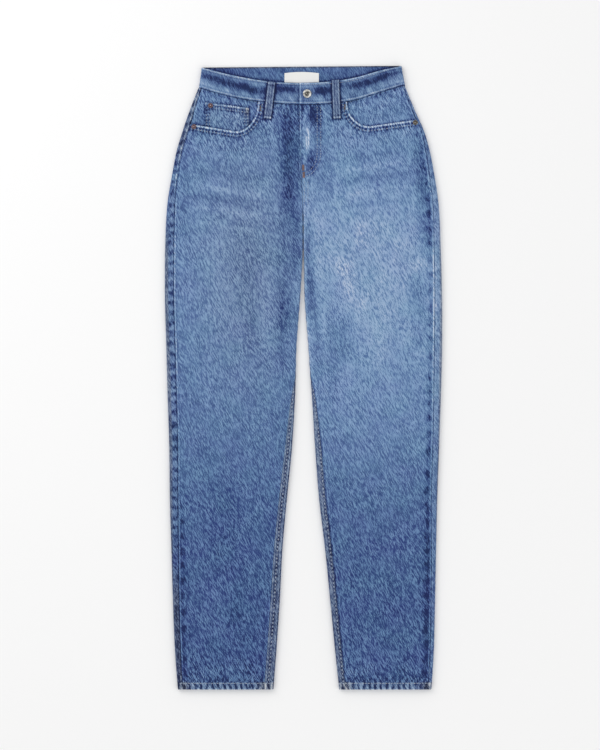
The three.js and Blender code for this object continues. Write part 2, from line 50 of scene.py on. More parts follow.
# Sizes that the part's source uses too
DENIM = 1.5
SEAM_GAP = 0.3
LAY_GAP = 0.4
HALF_GAP = SEAM_GAP / 2
LAY_HEIGHT = 6.9
BAND_WALL = 2.4
BAND_HEIGHT = 8.0
BACK_BAND_DEPTH = 36
BAND_LAP_X = 18
BAND_END_X = -6.85
BAND_DIP = BAND_WALL + LAY_GAP
HEM_LEVEL = -525
HEM_TOP = -513
HEM_WALL = 2.6
HEM_RISE = 0.5
CROTCH_TOP = 300
CROTCH_POINT = 262
SEAT_TOP = 380
FLY_END = 335
FLY_RISE = 15
FLY_LAP = 12
FLY_DIP = DENIM + LAY_GAP
FACING_WALL = 1.2
FACING_HIDDEN = 12
COIN_WALL = 1.2
COIN_HIDDEN = 10
MOUTH_FOOT = 380
PATCH_WALL = 1.2
PATCH = SimpleNamespace(out=95, half=69, top=398, shoulder=288, tip=255, slant=6)
YOKE = SimpleNamespace(centre=425, side=467, reach=185)

# Sections across a leg: level, how far out the outer fold and the inner edge lie, and how far the outseam
# and the inseam show inside them. Above the crotch the inner edge is the centre front.
RIGHT_LEG = SimpleNamespace(name="right", side=-1, rows=[
    (-525, 211.5, 50.5, 8.5, 15.5), (-460, 216.5, 45.5, 9.5, 15.5), (-375, 220, 39.8, 10.5, 15),
    (-290, 222.5, 35.4, 12, 14), (-205, 225, 27.8, 13.5, 13), (-120, 226, 19.4, 14.5, 11.5),
    (-40, 228.5, 14.3, 15, 7), (10, 230, 12.5, 15, 0), (50, 231, 11.5, 15, 0), (130, 233.4, 5.5, 15, 0),
    (200, 233.4, 1.3, 15, 0), (225, 232.8, 0.7, 14.6, 0), (262, 231.5, 0.6, 14, 0),
    (300, 228.3, 1.5, 12.5, 0), (340, 221.5, 3.5, 10, 0), (380, 214, 5, 9.5, 0), (415, 203.5, 6, 9.3, 0),
    (450, 191.5, 6.5, 8, 0), (490, 176, 7, 5, 0),
])
LEFT_LEG = SimpleNamespace(name="left", side=1, rows=[
    (-525, 215.5, 59.8, 6, 10.5), (-460, 219.5, 53, 6.5, 11), (-375, 221.6, 44.7, 7, 11),
    (-290, 223.3, 36.2, 8, 11), (-205, 225.3, 26.1, 10.5, 11), (-120, 228.3, 19.4, 11, 10.5),
    (-40, 231, 14.3, 12, 6), (10, 232.5, 10.5, 13, 0), (50, 233.4, 8, 13.3, 0), (130, 233.4, 1.6, 12.5, 0),
    (200, 231.7, 0.3, 11.5, 0), (225, 230.8, -0.6, 11.1, 0), (262, 229.5, -0.6, 10.5, 0),
    (300, 226.6, -1.5, 9.5, 0), (340, 220.5, -3.5, 8.5, 0), (380, 213, -5, 7, 0), (415, 203, -6, 5, 0),
    (450, 187.5, -6.5, 4.2, 0), (490, 170.9, -7, 3.8, 0),
])

# The front waistline: x, the waistband's top edge, the seam below it
WAISTLINE = [
    (-176, 522.5, 487.5), (-118, 508, 471.5), (-62, 498.5, 463), (-7, 495.5, 459.5),
    (47, 498, 461), (89, 505, 467.5), (130, 516.5, 480), (171, 525, 492.5),
]

# Pocket mouths: a steep inner end that turns through a quarter ellipse into a nearly level edge
RIGHT_LEG.mouth = SimpleNamespace(inner=76.7, turn=114, low=414.2, side_out=190, side=426.5)
LEFT_LEG.mouth = SimpleNamespace(inner=73.3, turn=111.4, low=422.8, side_out=190, side=434)
RIGHT_LEG.band = SimpleNamespace(seam=176, top=171.5)
LEFT_LEG.band = SimpleNamespace(seam=171, top=165)

COIN = SimpleNamespace(inner=92, outer=165, inner_top=453.6, outer_top=463)
BUTTON = SimpleNamespace(x=6.2, y=477.3, radius=7.25, shank=1.3)
LOOP_HALF_WIDTH = 6.75
LOOP_WALL = 1.8
LOOPS = {
    "belt_loop_right": ((-60.7, 435.5), (-53.4, 497)),
    "belt_loop_left": ((56.4, 435.5), (53.6, 500.5)),
}
# The fly's two rows of stitches: how far out the outer one runs, how far inside it the inner one runs, where
# they start to turn, the outer one's foot, and how far past the centre front they end
FLY_TURN = SimpleNamespace(out=29, between=6, level=378, foot=338, back=2)
LABEL = SimpleNamespace(left=-32, right=26, top=512.5, arch=2, wall=1.0)

# Soft troughs between two points: from x and y, to x and y, half width, depth
TROUGHS = [
    (-24, 452, -20, 285, 12, 1.1), (31, 440, 27, 300, 11, 0.7), (190, 405, 208, 262, 14, 0.9),
    (-28, 190, -52, -60, 16, 1.0), (44, 160, 58, -20, 15, 0.7), (-120, 360, -190, 300, 15, 0.6),
]


def mix(a, b, t):
    """The value at a share t of the way from a to b."""
    return a + (b - a) * t


def ease(t, start, end):
    """Goes smoothly from 0 at start to 1 at end: 3s squared less 2s cubed, of the share s of the way."""
    s = np.clip((t - start) / (end - start), 0, 1)
    return s * s * (3 - 2 * s)


def bell(distance, width):
    """A bell curve: 1 at no distance, and about a third at the width."""
    return np.exp(-((distance / width) ** 2))


def read(rows, column, at):
    """A table's column at any value of its first one: a cubic between each two rows, whose slope at a row is
    that between its neighbours, and level past the ends."""
    rows = np.asarray(rows, float)
    before = rows[[0, *range(len(rows) - 1)]]
    after = rows[[*range(1, len(rows)), len(rows) - 1]]
    slope = (after[:, column] - before[:, column]) / (after[:, 0] - before[:, 0])
    i = np.clip(np.searchsorted(rows[:, 0], at) - 1, 0, len(rows) - 2)
    step = rows[i + 1, 0] - rows[i, 0]
    t = np.clip((at - rows[i, 0]) / step, 0, 1)
    start, end = rows[i, column], rows[i + 1, column]
    ends = (2 * t**3 - 3 * t**2 + 1) * start + (3 * t**2 - 2 * t**3) * end
    return ends + step * ((t**3 - 2 * t**2 + t) * slope[i] + (t**3 - t**2) * slope[i + 1])


def waist_top(x):
    return read(WAISTLINE, 1, x)


def waist_seam(x):
    return read(WAISTLINE, 2, x)


def back_top(x):
    """The back's top edge, which rises by 1 in 114 towards the wearer's left."""
    return 523.5 + x / 114


def noise(x, y, seed):
    """Smooth noise from -1 to 1: random values at whole numbers of x and y, joined by smooth steps."""
    size = 128
    values = np.random.default_rng(seed).uniform(-1, 1, (size, size))
    i, j = np.floor(x).astype(int), np.floor(y).astype(int)
    s, t = ease(x - i, 0, 1), ease(y - j, 0, 1)

    def row(level):
        return mix(values[i % size, level % size], values[(i + 1) % size, level % size], s)

    return mix(row(j), row(j + 1), t)


def across_line(x, y, line):
    """How strongly a soft line between two points shows at a place: full on its middle, easing out to its
    half width and over the last quarter of its length at both ends."""
    from_x, from_y, to_x, to_y, half_width = line[:5]
    dx, dy = to_x - from_x, to_y - from_y
    length = math.hypot(dx, dy)
    along = ((x - from_x) * dx + (y - from_y) * dy) / length**2
    aside = np.abs((x - from_x) * dy - (y - from_y) * dx) / length
    return ease(along, 0, 0.25) * ease(along, 1, 0.75) * ease(aside, half_width, 0)


def relief(x, y):
    """How far the top of the cloth stands above the plain section: soft unevenness of two sizes, less the
    troughs."""
    unevenness = 0.28 * noise(x / 41, y / 67, 3) + 0.14 * noise(x / 15, y / 19, 4)
    return unevenness - sum(line[5] * across_line(x, y, line) for line in TROUGHS)


def pucker(run, distance, reach):
    """How far a seam draws the cloth in, never outwards: waves of 18 mm along the run, with an uneven beat,
    that fade away from the seam as a bell curve."""
    wave = 0.5 + 0.5 * np.sin(run * 2 * np.pi / 18 + 2.2 * noise(run / 30, run * 0, 5))
    return -0.55 * wave * bell(distance, reach)


def section_at(leg, level, lap=0.0, back=False):
    """A leg's section at each level, as a flattened ring: a top, a bottom and two round folds, with lengths
    that run along the outer skin. The inner edge is the centre front's, moved by a lap, or the centre
    back's."""
    height = LAY_HEIGHT + HEM_RISE * ease(level, HEM_TOP + 0.8, HEM_TOP - 0.8)
    fold = height / 2
    parted = ease(level, CROTCH_TOP, CROTCH_POINT)
    inner_fold = parted * fold
    outer = read(leg.rows, 1, level)
    to_centre = 1 - ease(level, CROTCH_TOP, SEAT_TOP) if back else 1.0
    inner = read(leg.rows, 2, level) * to_centre - lap + HALF_GAP
    quarter = fold * np.pi / 2
    inner_quarter = inner_fold * np.pi / 2
    flat = outer - fold - inner - inner_fold

    def seam_run(inset):
        round_fold = fold * np.arccos(np.clip(1 - inset / fold, -1, 1))
        return np.where(inset < fold, round_fold, quarter + inset - fold)

    return SimpleNamespace(
        leg=leg, level=level, height=height, fold=fold, parted=parted, inner_fold=inner_fold, outer=outer,
        inner=inner, quarter=quarter, flat=flat, inner_quarter=inner_quarter,
        half=quarter + flat + inner_quarter, outseam=seam_run(read(leg.rows, 3, level)),
        inseam=parted * seam_run(read(leg.rows, 4, level)),
    )


def ring_point(s, run):
    """Points on the ring, run millimetres from the outer fold's edge: below it going under, or above it where
    run is negative. Past the inner edge the run comes up over the top. Each fold is a half circle. The top
    carries the relief, and the seams draw the skin in."""
    upper = (run < 0) | (run > s.half)
    along = np.where(run < 0, -run, np.where(run > s.half, 2 * s.half - run, run))
    turn = along / s.fold
    at_outer = along < s.quarter
    out = np.where(at_outer, s.outer - s.fold * (1 - np.cos(turn)), s.outer - s.fold - along + s.quarter)
    drop = np.where(at_outer, s.fold * (1 - np.sin(turn)), 0)
    aside = np.where(at_outer, np.cos(turn), 0)
    upwards = np.where(at_outer, np.sin(turn), 1)
    at_inner = (along > s.quarter + s.flat) & (s.inner_fold > 1e-6)
    turn = (along - s.quarter - s.flat) / np.maximum(s.inner_fold, 1e-6)
    out = np.where(at_inner, s.inner + s.inner_fold * (1 - np.sin(turn)), out)
    drop = np.where(at_inner, s.inner_fold * (1 - np.cos(turn)), drop)
    aside = np.where(at_inner, -np.sin(turn * s.parted), aside)
    upwards = np.where(at_inner, np.cos(turn * s.parted), upwards)
    x = s.leg.side * out
    level = s.level + 0 * run
    normal = np.stack([s.leg.side * aside, 0 * out, np.where(upper, upwards, -upwards)], -1)
    normal = normal / np.hypot(aside, upwards)[..., None]
    from_fold = np.minimum(along - s.quarter, s.quarter + s.flat - along) / s.fold
    flatness = ease(from_fold, 0, 2)
    to_outseam = np.where(run < s.half, np.abs(run + s.outseam), np.abs(2 * s.half - run - s.outseam))
    to_inseam = np.where(run < 0, np.abs(s.half - s.inseam + run), np.abs(s.half + s.inseam - run))
    drawn = pucker(level, to_outseam, 6) + s.parted * pucker(level + 7, to_inseam, 8)
    z = np.where(upper, s.height - drop + flatness * relief(x, level), drop)
    point = np.stack([x, level, z], -1) + normal * drawn[..., None]
    return SimpleNamespace(
        out=out, x=x, level=level, z=z, point=point, normal=normal, upper=upper, inward=run > s.half / 2,
        to_outseam=to_outseam, to_inseam=to_inseam, section=s,
    )


def mouth_level(leg, out, grow=0.0):
    """The level of a pocket mouth at a distance out, or of the same curve grown towards its hidden side: a
    quarter ellipse from the waist seam down, then a straight edge to the side."""
    mouth = leg.mouth
    inner = mouth.inner - grow
    top = waist_seam(leg.side * mouth.inner)
    low = mouth.low - grow
    share = np.clip((out - inner) / (mouth.turn - inner), 0, 1)
    curved = top - (top - low) * np.sqrt(1 - (1 - share) ** 2)
    straight = mix(low, mouth.side - grow, (out - mouth.turn) / (mouth.side_out - mouth.turn))
    return np.where(out <= inner, top + FACING_HIDDEN, np.where(out > mouth.turn, straight, curved))


def level_where(test, low, high, shape):
    """The level in each column where a rising test passes zero, found by halving the range 26 times, to far
    under a thousandth of a millimetre."""
    low = np.full(shape, float(low))
    high = np.full(shape, float(high))
    for _ in range(26):
        middle = (low + high) / 2
        below = test(middle) < 0
        low = np.where(below, middle, low)
        high = np.where(below, high, middle)
    return (low + high) / 2


# Wash: how light the blue is, from 0 to 1, by level on each leg. It is lightest on the thighs.
WASH = {
    "right": [
        (-525, 0.25), (-420, 0.28), (-307, 0.305), (-240, 0.35), (-173, 0.42), (-105, 0.51), (-38, 0.56),
        (40, 0.62), (131, 0.65), (215, 0.64), (320, 0.64), (383, 0.60), (440, 0.55), (470, 0.53),
    ],
    "left": [
        (-525, 0.27), (-420, 0.285), (-307, 0.33), (-240, 0.385), (-173, 0.48), (-105, 0.62), (-38, 0.70),
        (40, 0.80), (110, 0.88), (190, 0.89), (257, 0.86), (299, 0.80), (341, 0.71), (390, 0.69),
        (440, 0.62), (470, 0.59),
    ],
}

# Soft lines where the colour is darker or lighter, whiskers and patches of the wash and painted shade along
# the troughs: from x and y, to x and y, half width, change
WASH_AND_SHADE_LINES = [
    (-26, 480, -24, 250, 26, -0.47), (-14, 300, -14, 150, 12, -0.24), (-32, 290, -36, 60, 20, -0.19),
    (-30, 165, -40, 0, 15, -0.22), (-9, 450, -6, 330, 6, 0.16), (-6, 200, -8, 110, 8, 0.14),
    (-100, 270, -86, 20, 26, -0.12), (-150, 260, -140, 0, 34, 0.06), (-196, 440, -206, 240, 12, -0.12),
    (-120, 410, -118, 340, 24, -0.08), (-140, -60, -135, -330, 60, -0.03), (-66, 150, -62, 20, 16, 0.08),
    (192, 436, 214, 190, 22, -0.34), (26, 440, 40, 300, 20, -0.10), (46, 330, 40, 270, 11, -0.10),
    (8, 270, 12, 90, 13, -0.30), (12, 200, 30, -20, 11, -0.20), (60, 290, 66, 150, 22, 0.03),
    (74, 120, 70, 20, 22, -0.14), (40, 130, 52, -60, 16, -0.12), (130, 110, 124, -20, 26, 0.07),
    (120, 330, 190, 316, 22, -0.05), (75, 440, 80, 330, 14, 0.06), (100, 440, 185, 452, 16, -0.04),
    (-200, 326, -50, 304, 8, 0.19), (-210, 310, -60, 286, 8, -0.15), (-200, 290, -50, 268, 8, 0.15),
    (-205, 352, -60, 330, 8, -0.12), (-200, 262, -60, 244, 8, 0.10), (-195, 378, -60, 366, 8, 0.10),
    (50, 366, 190, 384, 8, -0.12), (52, 346, 190, 366, 8, 0.16), (52, 328, 200, 346, 8, -0.14),
    (52, 306, 200, 324, 8, 0.10), (52, 286, 190, 302, 8, -0.08), (190, 190, 198, 40, 24, -0.17),
    (46, 200, 62, -10, 22, -0.13),
    (-150, -150, -90, -520, 26, -0.03), (100, -150, 118, -500, 22, 0.02), (60, -160, 72, -480, 12, 0.06),
]


def spots(run, spacing, seed):
    """Uneven spots along a seam, from 0 between them to 1: the upper part of a sine wave whose beat
    wanders."""
    wave = 0.5 + 0.5 * np.sin(2 * np.pi * run / spacing + 2.6 * noise(run / 55, run * 0 + 0.5, seed))
    return ease(wave, 0.35, 0.9)


def wash_and_shade_at(leg, x, y, out_share):
    """How light the blue is, with painted shade: the leg's own fall down its length, darker towards both
    sides as the fifth power of the distance from its middle, as unworn indigo and painted shade both, plus
    the soft lines, some of them painted shade along the troughs, and cloudy unevenness."""
    base = read(WASH[leg.name], 1, y)
    sides = np.abs(2 * out_share - 1) ** 5
    lines = sum(line[5] * across_line(x, y, line) for line in WASH_AND_SHADE_LINES)
    clouds = 0.035 * noise(x / 24, y / 36, 11) + 0.025 * noise(x / 9, y / 14, 12)
    return base - 0.09 * sides + lines + clouds


def hem_marks(x, y):
    """Wear at a hem: a pale rolled band crossed by navy marks every 9.5 mm or so, with a bare lower edge, and
    slanting puckers above its row of stitches."""
    marks = spots(x + 0.12 * y + 1.5 * noise(y / 4, x / 9, 33), 9.5, 31)
    band = ease(y, HEM_TOP + 1, HEM_TOP - 1)
    drawn = spots(x - 0.8 * (y - HEM_TOP), 9.5, 32) * (y > HEM_TOP) * bell(y - HEM_TOP - 3, 5)
    return band * (0.38 - 0.76 * marks) + 0.30 * bell(y - HEM_LEVEL - 0.6, 1.3) - 0.26 * drawn


def loop_shadow_nearness(x, y):
    """Where painted shadow falls beside the belt loops: how close a place is to a loop's long sides or its
    foot, from 0 to 1 at the edge itself.
    """
    near = 0 * x
    for (bottom_x, bottom_y), (top_x, top_y) in LOOPS.values():
        middle = mix(bottom_x, top_x, (y - bottom_y) / (top_y - bottom_y))
        past = np.maximum(np.abs(x - middle) - LOOP_HALF_WIDTH, bottom_y - y)
        near = np.maximum(near, bell(past, 2.6) * (y > bottom_y - 6))
    return near


def put_mesh(name, points, faces, material, attributes):
    """Makes an object from points in millimetres and arrays of faces, each with one number of corners."""
    mesh = bpy.data.meshes.new(name)
    mesh.vertices.add(len(points))
    mesh.vertices.foreach_set("co", (np.asarray(points) * MM).astype(np.float32).ravel())
    corners = np.concatenate([f.ravel() for f in faces])
    counts = np.concatenate([np.full(len(f), f.shape[1]) for f in faces])
    mesh.loops.add(len(corners))
    mesh.loops.foreach_set("vertex_index", corners.astype(np.int32))
    mesh.polygons.add(len(counts))
    mesh.polygons.foreach_set("loop_start", (np.cumsum(counts) - counts).astype(np.int32))
    mesh.polygons.foreach_set("use_smooth", np.full(len(counts), True))
    for key, values in attributes.items():
        made = mesh.attributes.new(key, "FLOAT", "POINT")
        made.data.foreach_set("value", np.asarray(values, np.float32).ravel())
    mesh.update(calc_edges=True)
    mesh.validate()
    mesh.materials.append(material)
    made = bpy.data.objects.new(name, mesh)
    bpy.context.scene.collection.objects.link(made)
    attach(made, "root")
    return made


def panel(node, outer, inner, material, kind="cloth", **attributes):
    """The cloth that stands for a node: a closed wall from two grids of points, its outer and its inner skin,
    joined round their rims, with its faces turned outwards by the sign of its volume. Each attribute is a
    grid of values, or one value for all."""
    rows, columns = outer.shape[:2]
    count = rows * columns
    at = np.arange(count).reshape(rows, columns)
    skin = np.stack([at[:-1, :-1], at[:-1, 1:], at[1:, 1:], at[1:, :-1]], -1).reshape(-1, 4)
    rim = np.concatenate([at[0, :-1], at[:-1, -1], at[-1, :0:-1], at[:0:-1, 0]])
    following = np.roll(rim, -1)
    sides = np.stack([following, rim, rim + count, following + count], -1)
    faces = np.concatenate([skin, skin[:, ::-1] + count, sides])
    points = np.concatenate([outer.reshape(-1, 3), inner.reshape(-1, 3)])
    a, b, c, d = (points[faces[:, k]] for k in range(4))
    volume = np.sum(a * np.cross(b, c)) + np.sum(a * np.cross(c, d))
    if volume < 0:
        faces = faces[:, ::-1]
    doubled = {}
    for key, grid in attributes.items():
        doubled[key] = np.tile(np.broadcast_to(grid, (rows, columns)).ravel(), 2)
    made = put_mesh(f"{kind}_{node}", points, [faces], material, doubled)
    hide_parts(node)
    return made


def spaced(*stops):
    """Values that run from stop to stop, with the number of steps given between them: a, n, b, m, c."""
    ends, counts = stops[::2], stops[1::2]
    parts = [np.linspace(a, b, n, endpoint=False) for a, b, n in zip(ends, ends[1:], counts)]
    return np.concatenate([*parts, [stops[-1]]])


def wall_at(level):
    """How thick the cloth is: the hem is turned twice."""
    return mix(DENIM, HEM_WALL, ease(level, HEM_TOP + 0.8, HEM_TOP - 0.8))


def nearest(*seams):
    """Of several seams, each with its distance, place along it in ropes and height of ridge, the nearest at
    each point."""
    shape = np.shape(seams[0][0])
    edge, rope, ridge = (np.stack([np.broadcast_to(s[k], shape) for s in seams]) for k in range(3))
    pick = np.argmin(edge, 0)[None]
    grids = {"edge": edge, "rope": rope, "ridge": ridge}
    return {key: np.take_along_axis(grid, pick, 0)[0] for key, grid in grids.items()}


# Columns of a front: set distances round the inner fold and the fly, then places out from the middle that are
# close together at the pocket mouth's steep end, then shares of the rest up to the outseam.
FLY_RUNS = np.array([0, 0.6, 1.5, 2.6, 3.8, 5, 6.5, 8, 10, 12, 14, 16, 18, 20, 22.0])
OUTER_SHARES = spaced(0, 34, 0.86, 8, 0.965, 8, 1)


def front_columns(leg):
    mouth = leg.mouth
    beside = np.linspace(24.2, mouth.inner - 2, 22)
    turns = np.linspace(0, np.pi / 2, 26)[:-1]
    curved = mouth.inner + (mouth.turn - mouth.inner) * (1 - np.cos(turns))
    return np.concatenate([beside, [mouth.inner - 0.4], curved[1:]])


def front_surface(leg, level):
    """A front's outer skin. Level is a grid with one column for each of the front's columns."""
    laps = leg.side < 0
    places = front_columns(leg)
    n, m = len(FLY_RUNS), len(FLY_RUNS) + len(places)

    def section_with_lap(at):
        lap = FLY_LAP * ease(at, FLY_END, FLY_END + FLY_RISE) if laps else 0 * at
        return section_at(leg, at, lap)

    def length_of(s):
        return s.half - s.inseam - s.outseam - HALF_GAP * (1 + s.parted)

    foot = section_with_lap(np.array(float(MOUTH_FOOT)))
    last = FLY_RUNS[-1]

    def reach(section, out):
        lower = mix(last, length_of(section), (out - foot.inner - last) / (length_of(foot) - last))
        return np.where(section.level >= MOUTH_FOOT, out - section.inner, lower)

    run = np.empty(level.shape)
    run[:, :n] = FLY_RUNS
    run[:, n:m] = reach(section_with_lap(level[:, n:m]), places)
    rest = section_with_lap(level[:, m:])
    run[:, m:] = mix(reach(rest, leg.mouth.turn), length_of(rest), OUTER_SHARES)
    s = section_with_lap(level)
    found = ring_point(s, run - (s.half - s.inseam - HALF_GAP * s.parted))
    if laps:
        centre = read(leg.rows, 2, found.level)
        lowered = ease(found.level, FLY_END - 17, FLY_END) * ease(found.out, centre + 10, centre + 2)
        found.point[..., 2] -= FLY_DIP * lowered
    return found


def curve_distance(x, y, path):
    """How far places lie from a path's points, and how far along the path the nearest is."""
    lengths = np.concatenate([[0], np.cumsum(np.hypot(*np.diff(path)))])
    gap = np.hypot(x[..., None] - path[0], y[..., None] - path[1])
    pick = np.argmin(gap, -1)
    return np.take_along_axis(gap, pick[..., None], -1)[..., 0], lengths[pick]


def mouth_path(leg, grow=0.0):
    """Points along a pocket mouth grown towards its hidden side, from the waist seam to the outseam."""
    mouth = leg.mouth
    inner = mouth.inner - grow
    turns = np.linspace(0.06, np.pi / 2, 80)
    curved = inner + (mouth.turn - inner) * (1 - np.cos(turns))
    side = read(leg.rows, 1, np.array(mouth.side)) - read(leg.rows, 3, np.array(mouth.side)) - 0.8
    out = np.concatenate([curved, np.linspace(mouth.turn, side, 80)[1:]])
    return out, mouth_level(leg, out, grow)


def front_marks(leg, found):
    """Seam wear on a front, added to its wash: a rubbed ridge beside the outseam with dark spots behind it, a
    dark line at the inseam and the fly's pale and navy stripes; and painted shadow beside the fly's edge on
    the underlap and round the belt loops."""
    x, y, d = found.x, found.level, found.to_outseam
    right = leg.side < 0
    beat = spots(y, 27, 7)
    hips = ease(y, 280, 330)
    if right:
        low = ease(y, -150, -280)
        marks = 0.40 * (1 - hips) * bell(d - 1.9, 0.8) - 0.34 * bell(d - 0.4 - hips, 0.9)
        marks = marks + 0.16 * hips * bell(d - 4, 2)
        marks = marks - 0.10 * (1 - hips) * bell(d - 4.4, 1.2) - low * beat * bell(d - 7, 3.6) * 0.44
    else:
        lip = 0.26 + 0.16 * hips
        marks = lip * bell(d - 1.5 - 0.8 * hips, 0.9) - 0.32 * bell(d, 0.7)
        ragged = 0.8 + 0.35 * noise(x / 3, y / 3.5, 18)
        marks = marks - (1 - 0.6 * hips) * (0.18 + 0.38 * beat * ragged) * bell(d - 7, 5.0) * ease(d, 2.2, 4)
        marks = marks + 0.08 * bell(d - 11, 3) * (1 - beat)
    marks = marks + 0.06 * bell(d - 14, 6) * noise(x / 4, y / 7, 17) + hem_marks(x, y)
    parted = found.section.parted
    lip_at = 0.6 if right else 3.8
    marks = marks + parted * (0.24 * bell(found.to_inseam - lip_at, 0.9) - 0.20 * bell(found.to_inseam, 0.9))
    if not right:
        marks = marks - parted * 0.22 * bell(found.to_inseam - 1.6, 1.0)
    # Painted shadow beside the belt loops
    marks = marks - 0.8 * loop_shadow_nearness(x, y)
    if right:
        # Painted shadow of the fly's edge on the underlap beside it
        return marks - 0.34 * bell(x + 8.5, 2.0) * ease(y, 326, 345)
    worn = 0.5 + 0.5 * noise(x / 1.6, y / 19, 13)
    at_fly = ease(y, 322, 350) * ease(x, 40, 33)
    pale = bell(x - 5.0, 5.5) * (0.10 + 0.36 * worn) + 0.16 * bell(x - 0.4, 1.2) + 0.16 * bell(x - 8.6, 1.4)
    pale = pale * (0.30 + 0.95 * bell(y - 404, 36))
    navy = 1.0 * bell(x - 17, 10) * bell(y - 442, 19) + 0.74 * bell(x - 12, 7.5) * bell(y - 366, 17)
    navy = navy + 0.40 * bell(x + 1, 4) * bell(y - 453, 7)
    ladder = 0.46 * bell(x + 0.6, 1.5) * spots(y, 5.2, 16) * ease(y, 350, 362)
    return marks + at_fly * (pale - navy * (0.7 + 0.4 * worn) - ladder) + fly_rows_wear(x, y)


def fly_rows_wear(x, y):
    """Wear along the fly: its rubbed edge with a dark line behind, and roping at two rows of stitches that
    run down to an elliptical turn at the foot."""
    down = np.clip((FLY_TURN.level - y) / (FLY_TURN.level - FLY_TURN.foot), 0, None)
    reach = FLY_TURN.out + FLY_TURN.back
    off = reach * (1 - np.hypot((x + FLY_TURN.back) / reach, down))
    rows = bell(off, 1.7) + bell(off - FLY_TURN.between, 1.7)
    roped = rows * (0.14 + 0.34 * spots(y + x, 5.6, 14)) + 0.20 * bell(off - 3, 2.2) * spots(y, 13, 15)
    edge = 0.34 * bell(x - BAND_END_X - 1.0, 1.2) - 0.26 * bell(x - BAND_END_X - 4.0, 1.6)
    return edge * ease(y, 322, 350) - roped * (x > -FLY_TURN.back)


# Rows of a front and of a back from the hem up, close together where the hem's thickness ends
LEG_LEVELS = spaced(
    HEM_LEVEL, 1, HEM_LEVEL + 0.5, 1, HEM_LEVEL + 2, 4, HEM_TOP - 1.2, 4, HEM_TOP + 1.2, 325, MOUTH_FOOT,
)
UPPER_SHARES = spaced(0, 24, 0.93, 6, 0.994, 1, 1)[1:]


def front(leg, material):
    """A front from the hem to the waist seam and the pocket mouth, cut away where the pocket opens."""
    count = len(FLY_RUNS) + len(front_columns(leg)) + len(OUTER_SHARES)

    def past_edge(level):
        found = front_surface(leg, level)
        return level - np.minimum(waist_seam(found.x), mouth_level(leg, found.out)) + HALF_GAP

    top = level_where(past_edge, MOUTH_FOOT, 500, (1, count))
    upper = MOUTH_FOOT + (top - MOUTH_FOOT) * UPPER_SHARES[:, None]
    level = np.concatenate([np.repeat(LEG_LEVELS[:, None], count, 1), upper])
    found = front_surface(leg, level)
    inner_skin = found.point - found.normal * wall_at(found.level)[..., None]
    found.point[-1, :, 2] -= 0.5
    x, y = found.x, found.level
    s = section_at(leg, y)
    out_share = (found.out - s.inner) / (s.outer - s.inner)
    wash = wash_and_shade_at(leg, x, y, out_share) + front_marks(leg, found)
    n = len(LEG_LEVELS)
    to_mouth, along_mouth = np.full(y.shape, FAR), np.zeros(y.shape)
    to_mouth[n:], along_mouth[n:] = curve_distance(found.out[n:], y[n:], mouth_path(leg))
    below_waist = np.where(found.out < leg.mouth.inner + 2, waist_seam(x) - y, FAR)
    inseam = np.where(s.parted > 0.5, found.to_inseam, FAR)
    seams = nearest(
        (y - HEM_LEVEL, 0.0, 0.0), (to_mouth, along_mouth / 5.4, 1.0), (below_waist + 9.6, x / 8, 0.8),
    )
    thigh = 0.20 * bell(x + 95, 75) * bell(y - 190, 190)
    hem = ease(y, HEM_TOP + 2, HEM_TOP - 1) * (0.25 + 0.6 * bell(np.minimum(found.to_outseam, inseam), 10))
    grey = np.maximum(thigh, hem)
    return panel("front_" + leg.name, found.point, inner_skin, material, fade=wash, grey=grey, **seams)


# Columns of a back: from the outseam on top, round the outer fold, along the underside, and up round the
# inner fold to the inseam. Above the crotch that last stretch is a narrow strip.
BACK_STEPS = [7, 7, 7, 44]
RISE_STEPS = 22
YOKE_RISE_STEPS = 3
CENTRE_STRIP = 6.0


def back_runs(s, rises=True):
    """How far round the ring a back's columns lie. A yoke doesn't rise past the centre back."""
    lip = s.outseam - HALF_GAP
    fold = np.minimum(s.quarter, 0.85 * lip)
    under_end = s.half - s.inner_quarter - CENTRE_STRIP
    end = s.half + s.inseam - HALF_GAP * s.parted if rises else s.half
    corners = [-lip, -fold, 0 * lip, s.quarter, under_end, end]
    steps = [*BACK_STEPS, RISE_STEPS if rises else YOKE_RISE_STEPS]
    stretches = zip(corners, corners[1:], steps)
    runs = [mix(a, b, np.linspace(0, 1, n, endpoint=False)) for a, b, n in stretches]
    return np.concatenate([*runs, end], -1)


def back_surface(leg, level, rises=True):
    """A back's outer skin. Level is a grid with one column for each of the back's columns."""
    columns = [section_at(leg, level[:, k:k + 1], back=True) for k in range(level.shape[1])]
    run = np.stack([back_runs(s, rises)[:, k] for k, s in enumerate(columns)], 1)
    return ring_point(section_at(leg, level, back=True), run)


def patch_distance(leg, x, y):
    """How far points lie outside a back pocket's outline, or inside it where negative: the most of the
    distances past its five straight edges."""
    out = np.abs(leg.side * x - PATCH.out)
    side = out - PATCH.half + PATCH.slant * (PATCH.top - y) / (PATCH.top - PATCH.shoulder)
    lower = PATCH.half - PATCH.slant
    fall = PATCH.shoulder - PATCH.tip
    tip = (PATCH.tip + fall * out / lower - y) * lower / math.hypot(lower, fall)
    return np.maximum.reduce([y - PATCH.top, side, tip])


def yoke_level(out):
    """The yoke's lower seam, which rises from the centre back out to the side."""
    return mix(YOKE.centre, YOKE.side, np.clip(out / YOKE.reach, 0, 1))


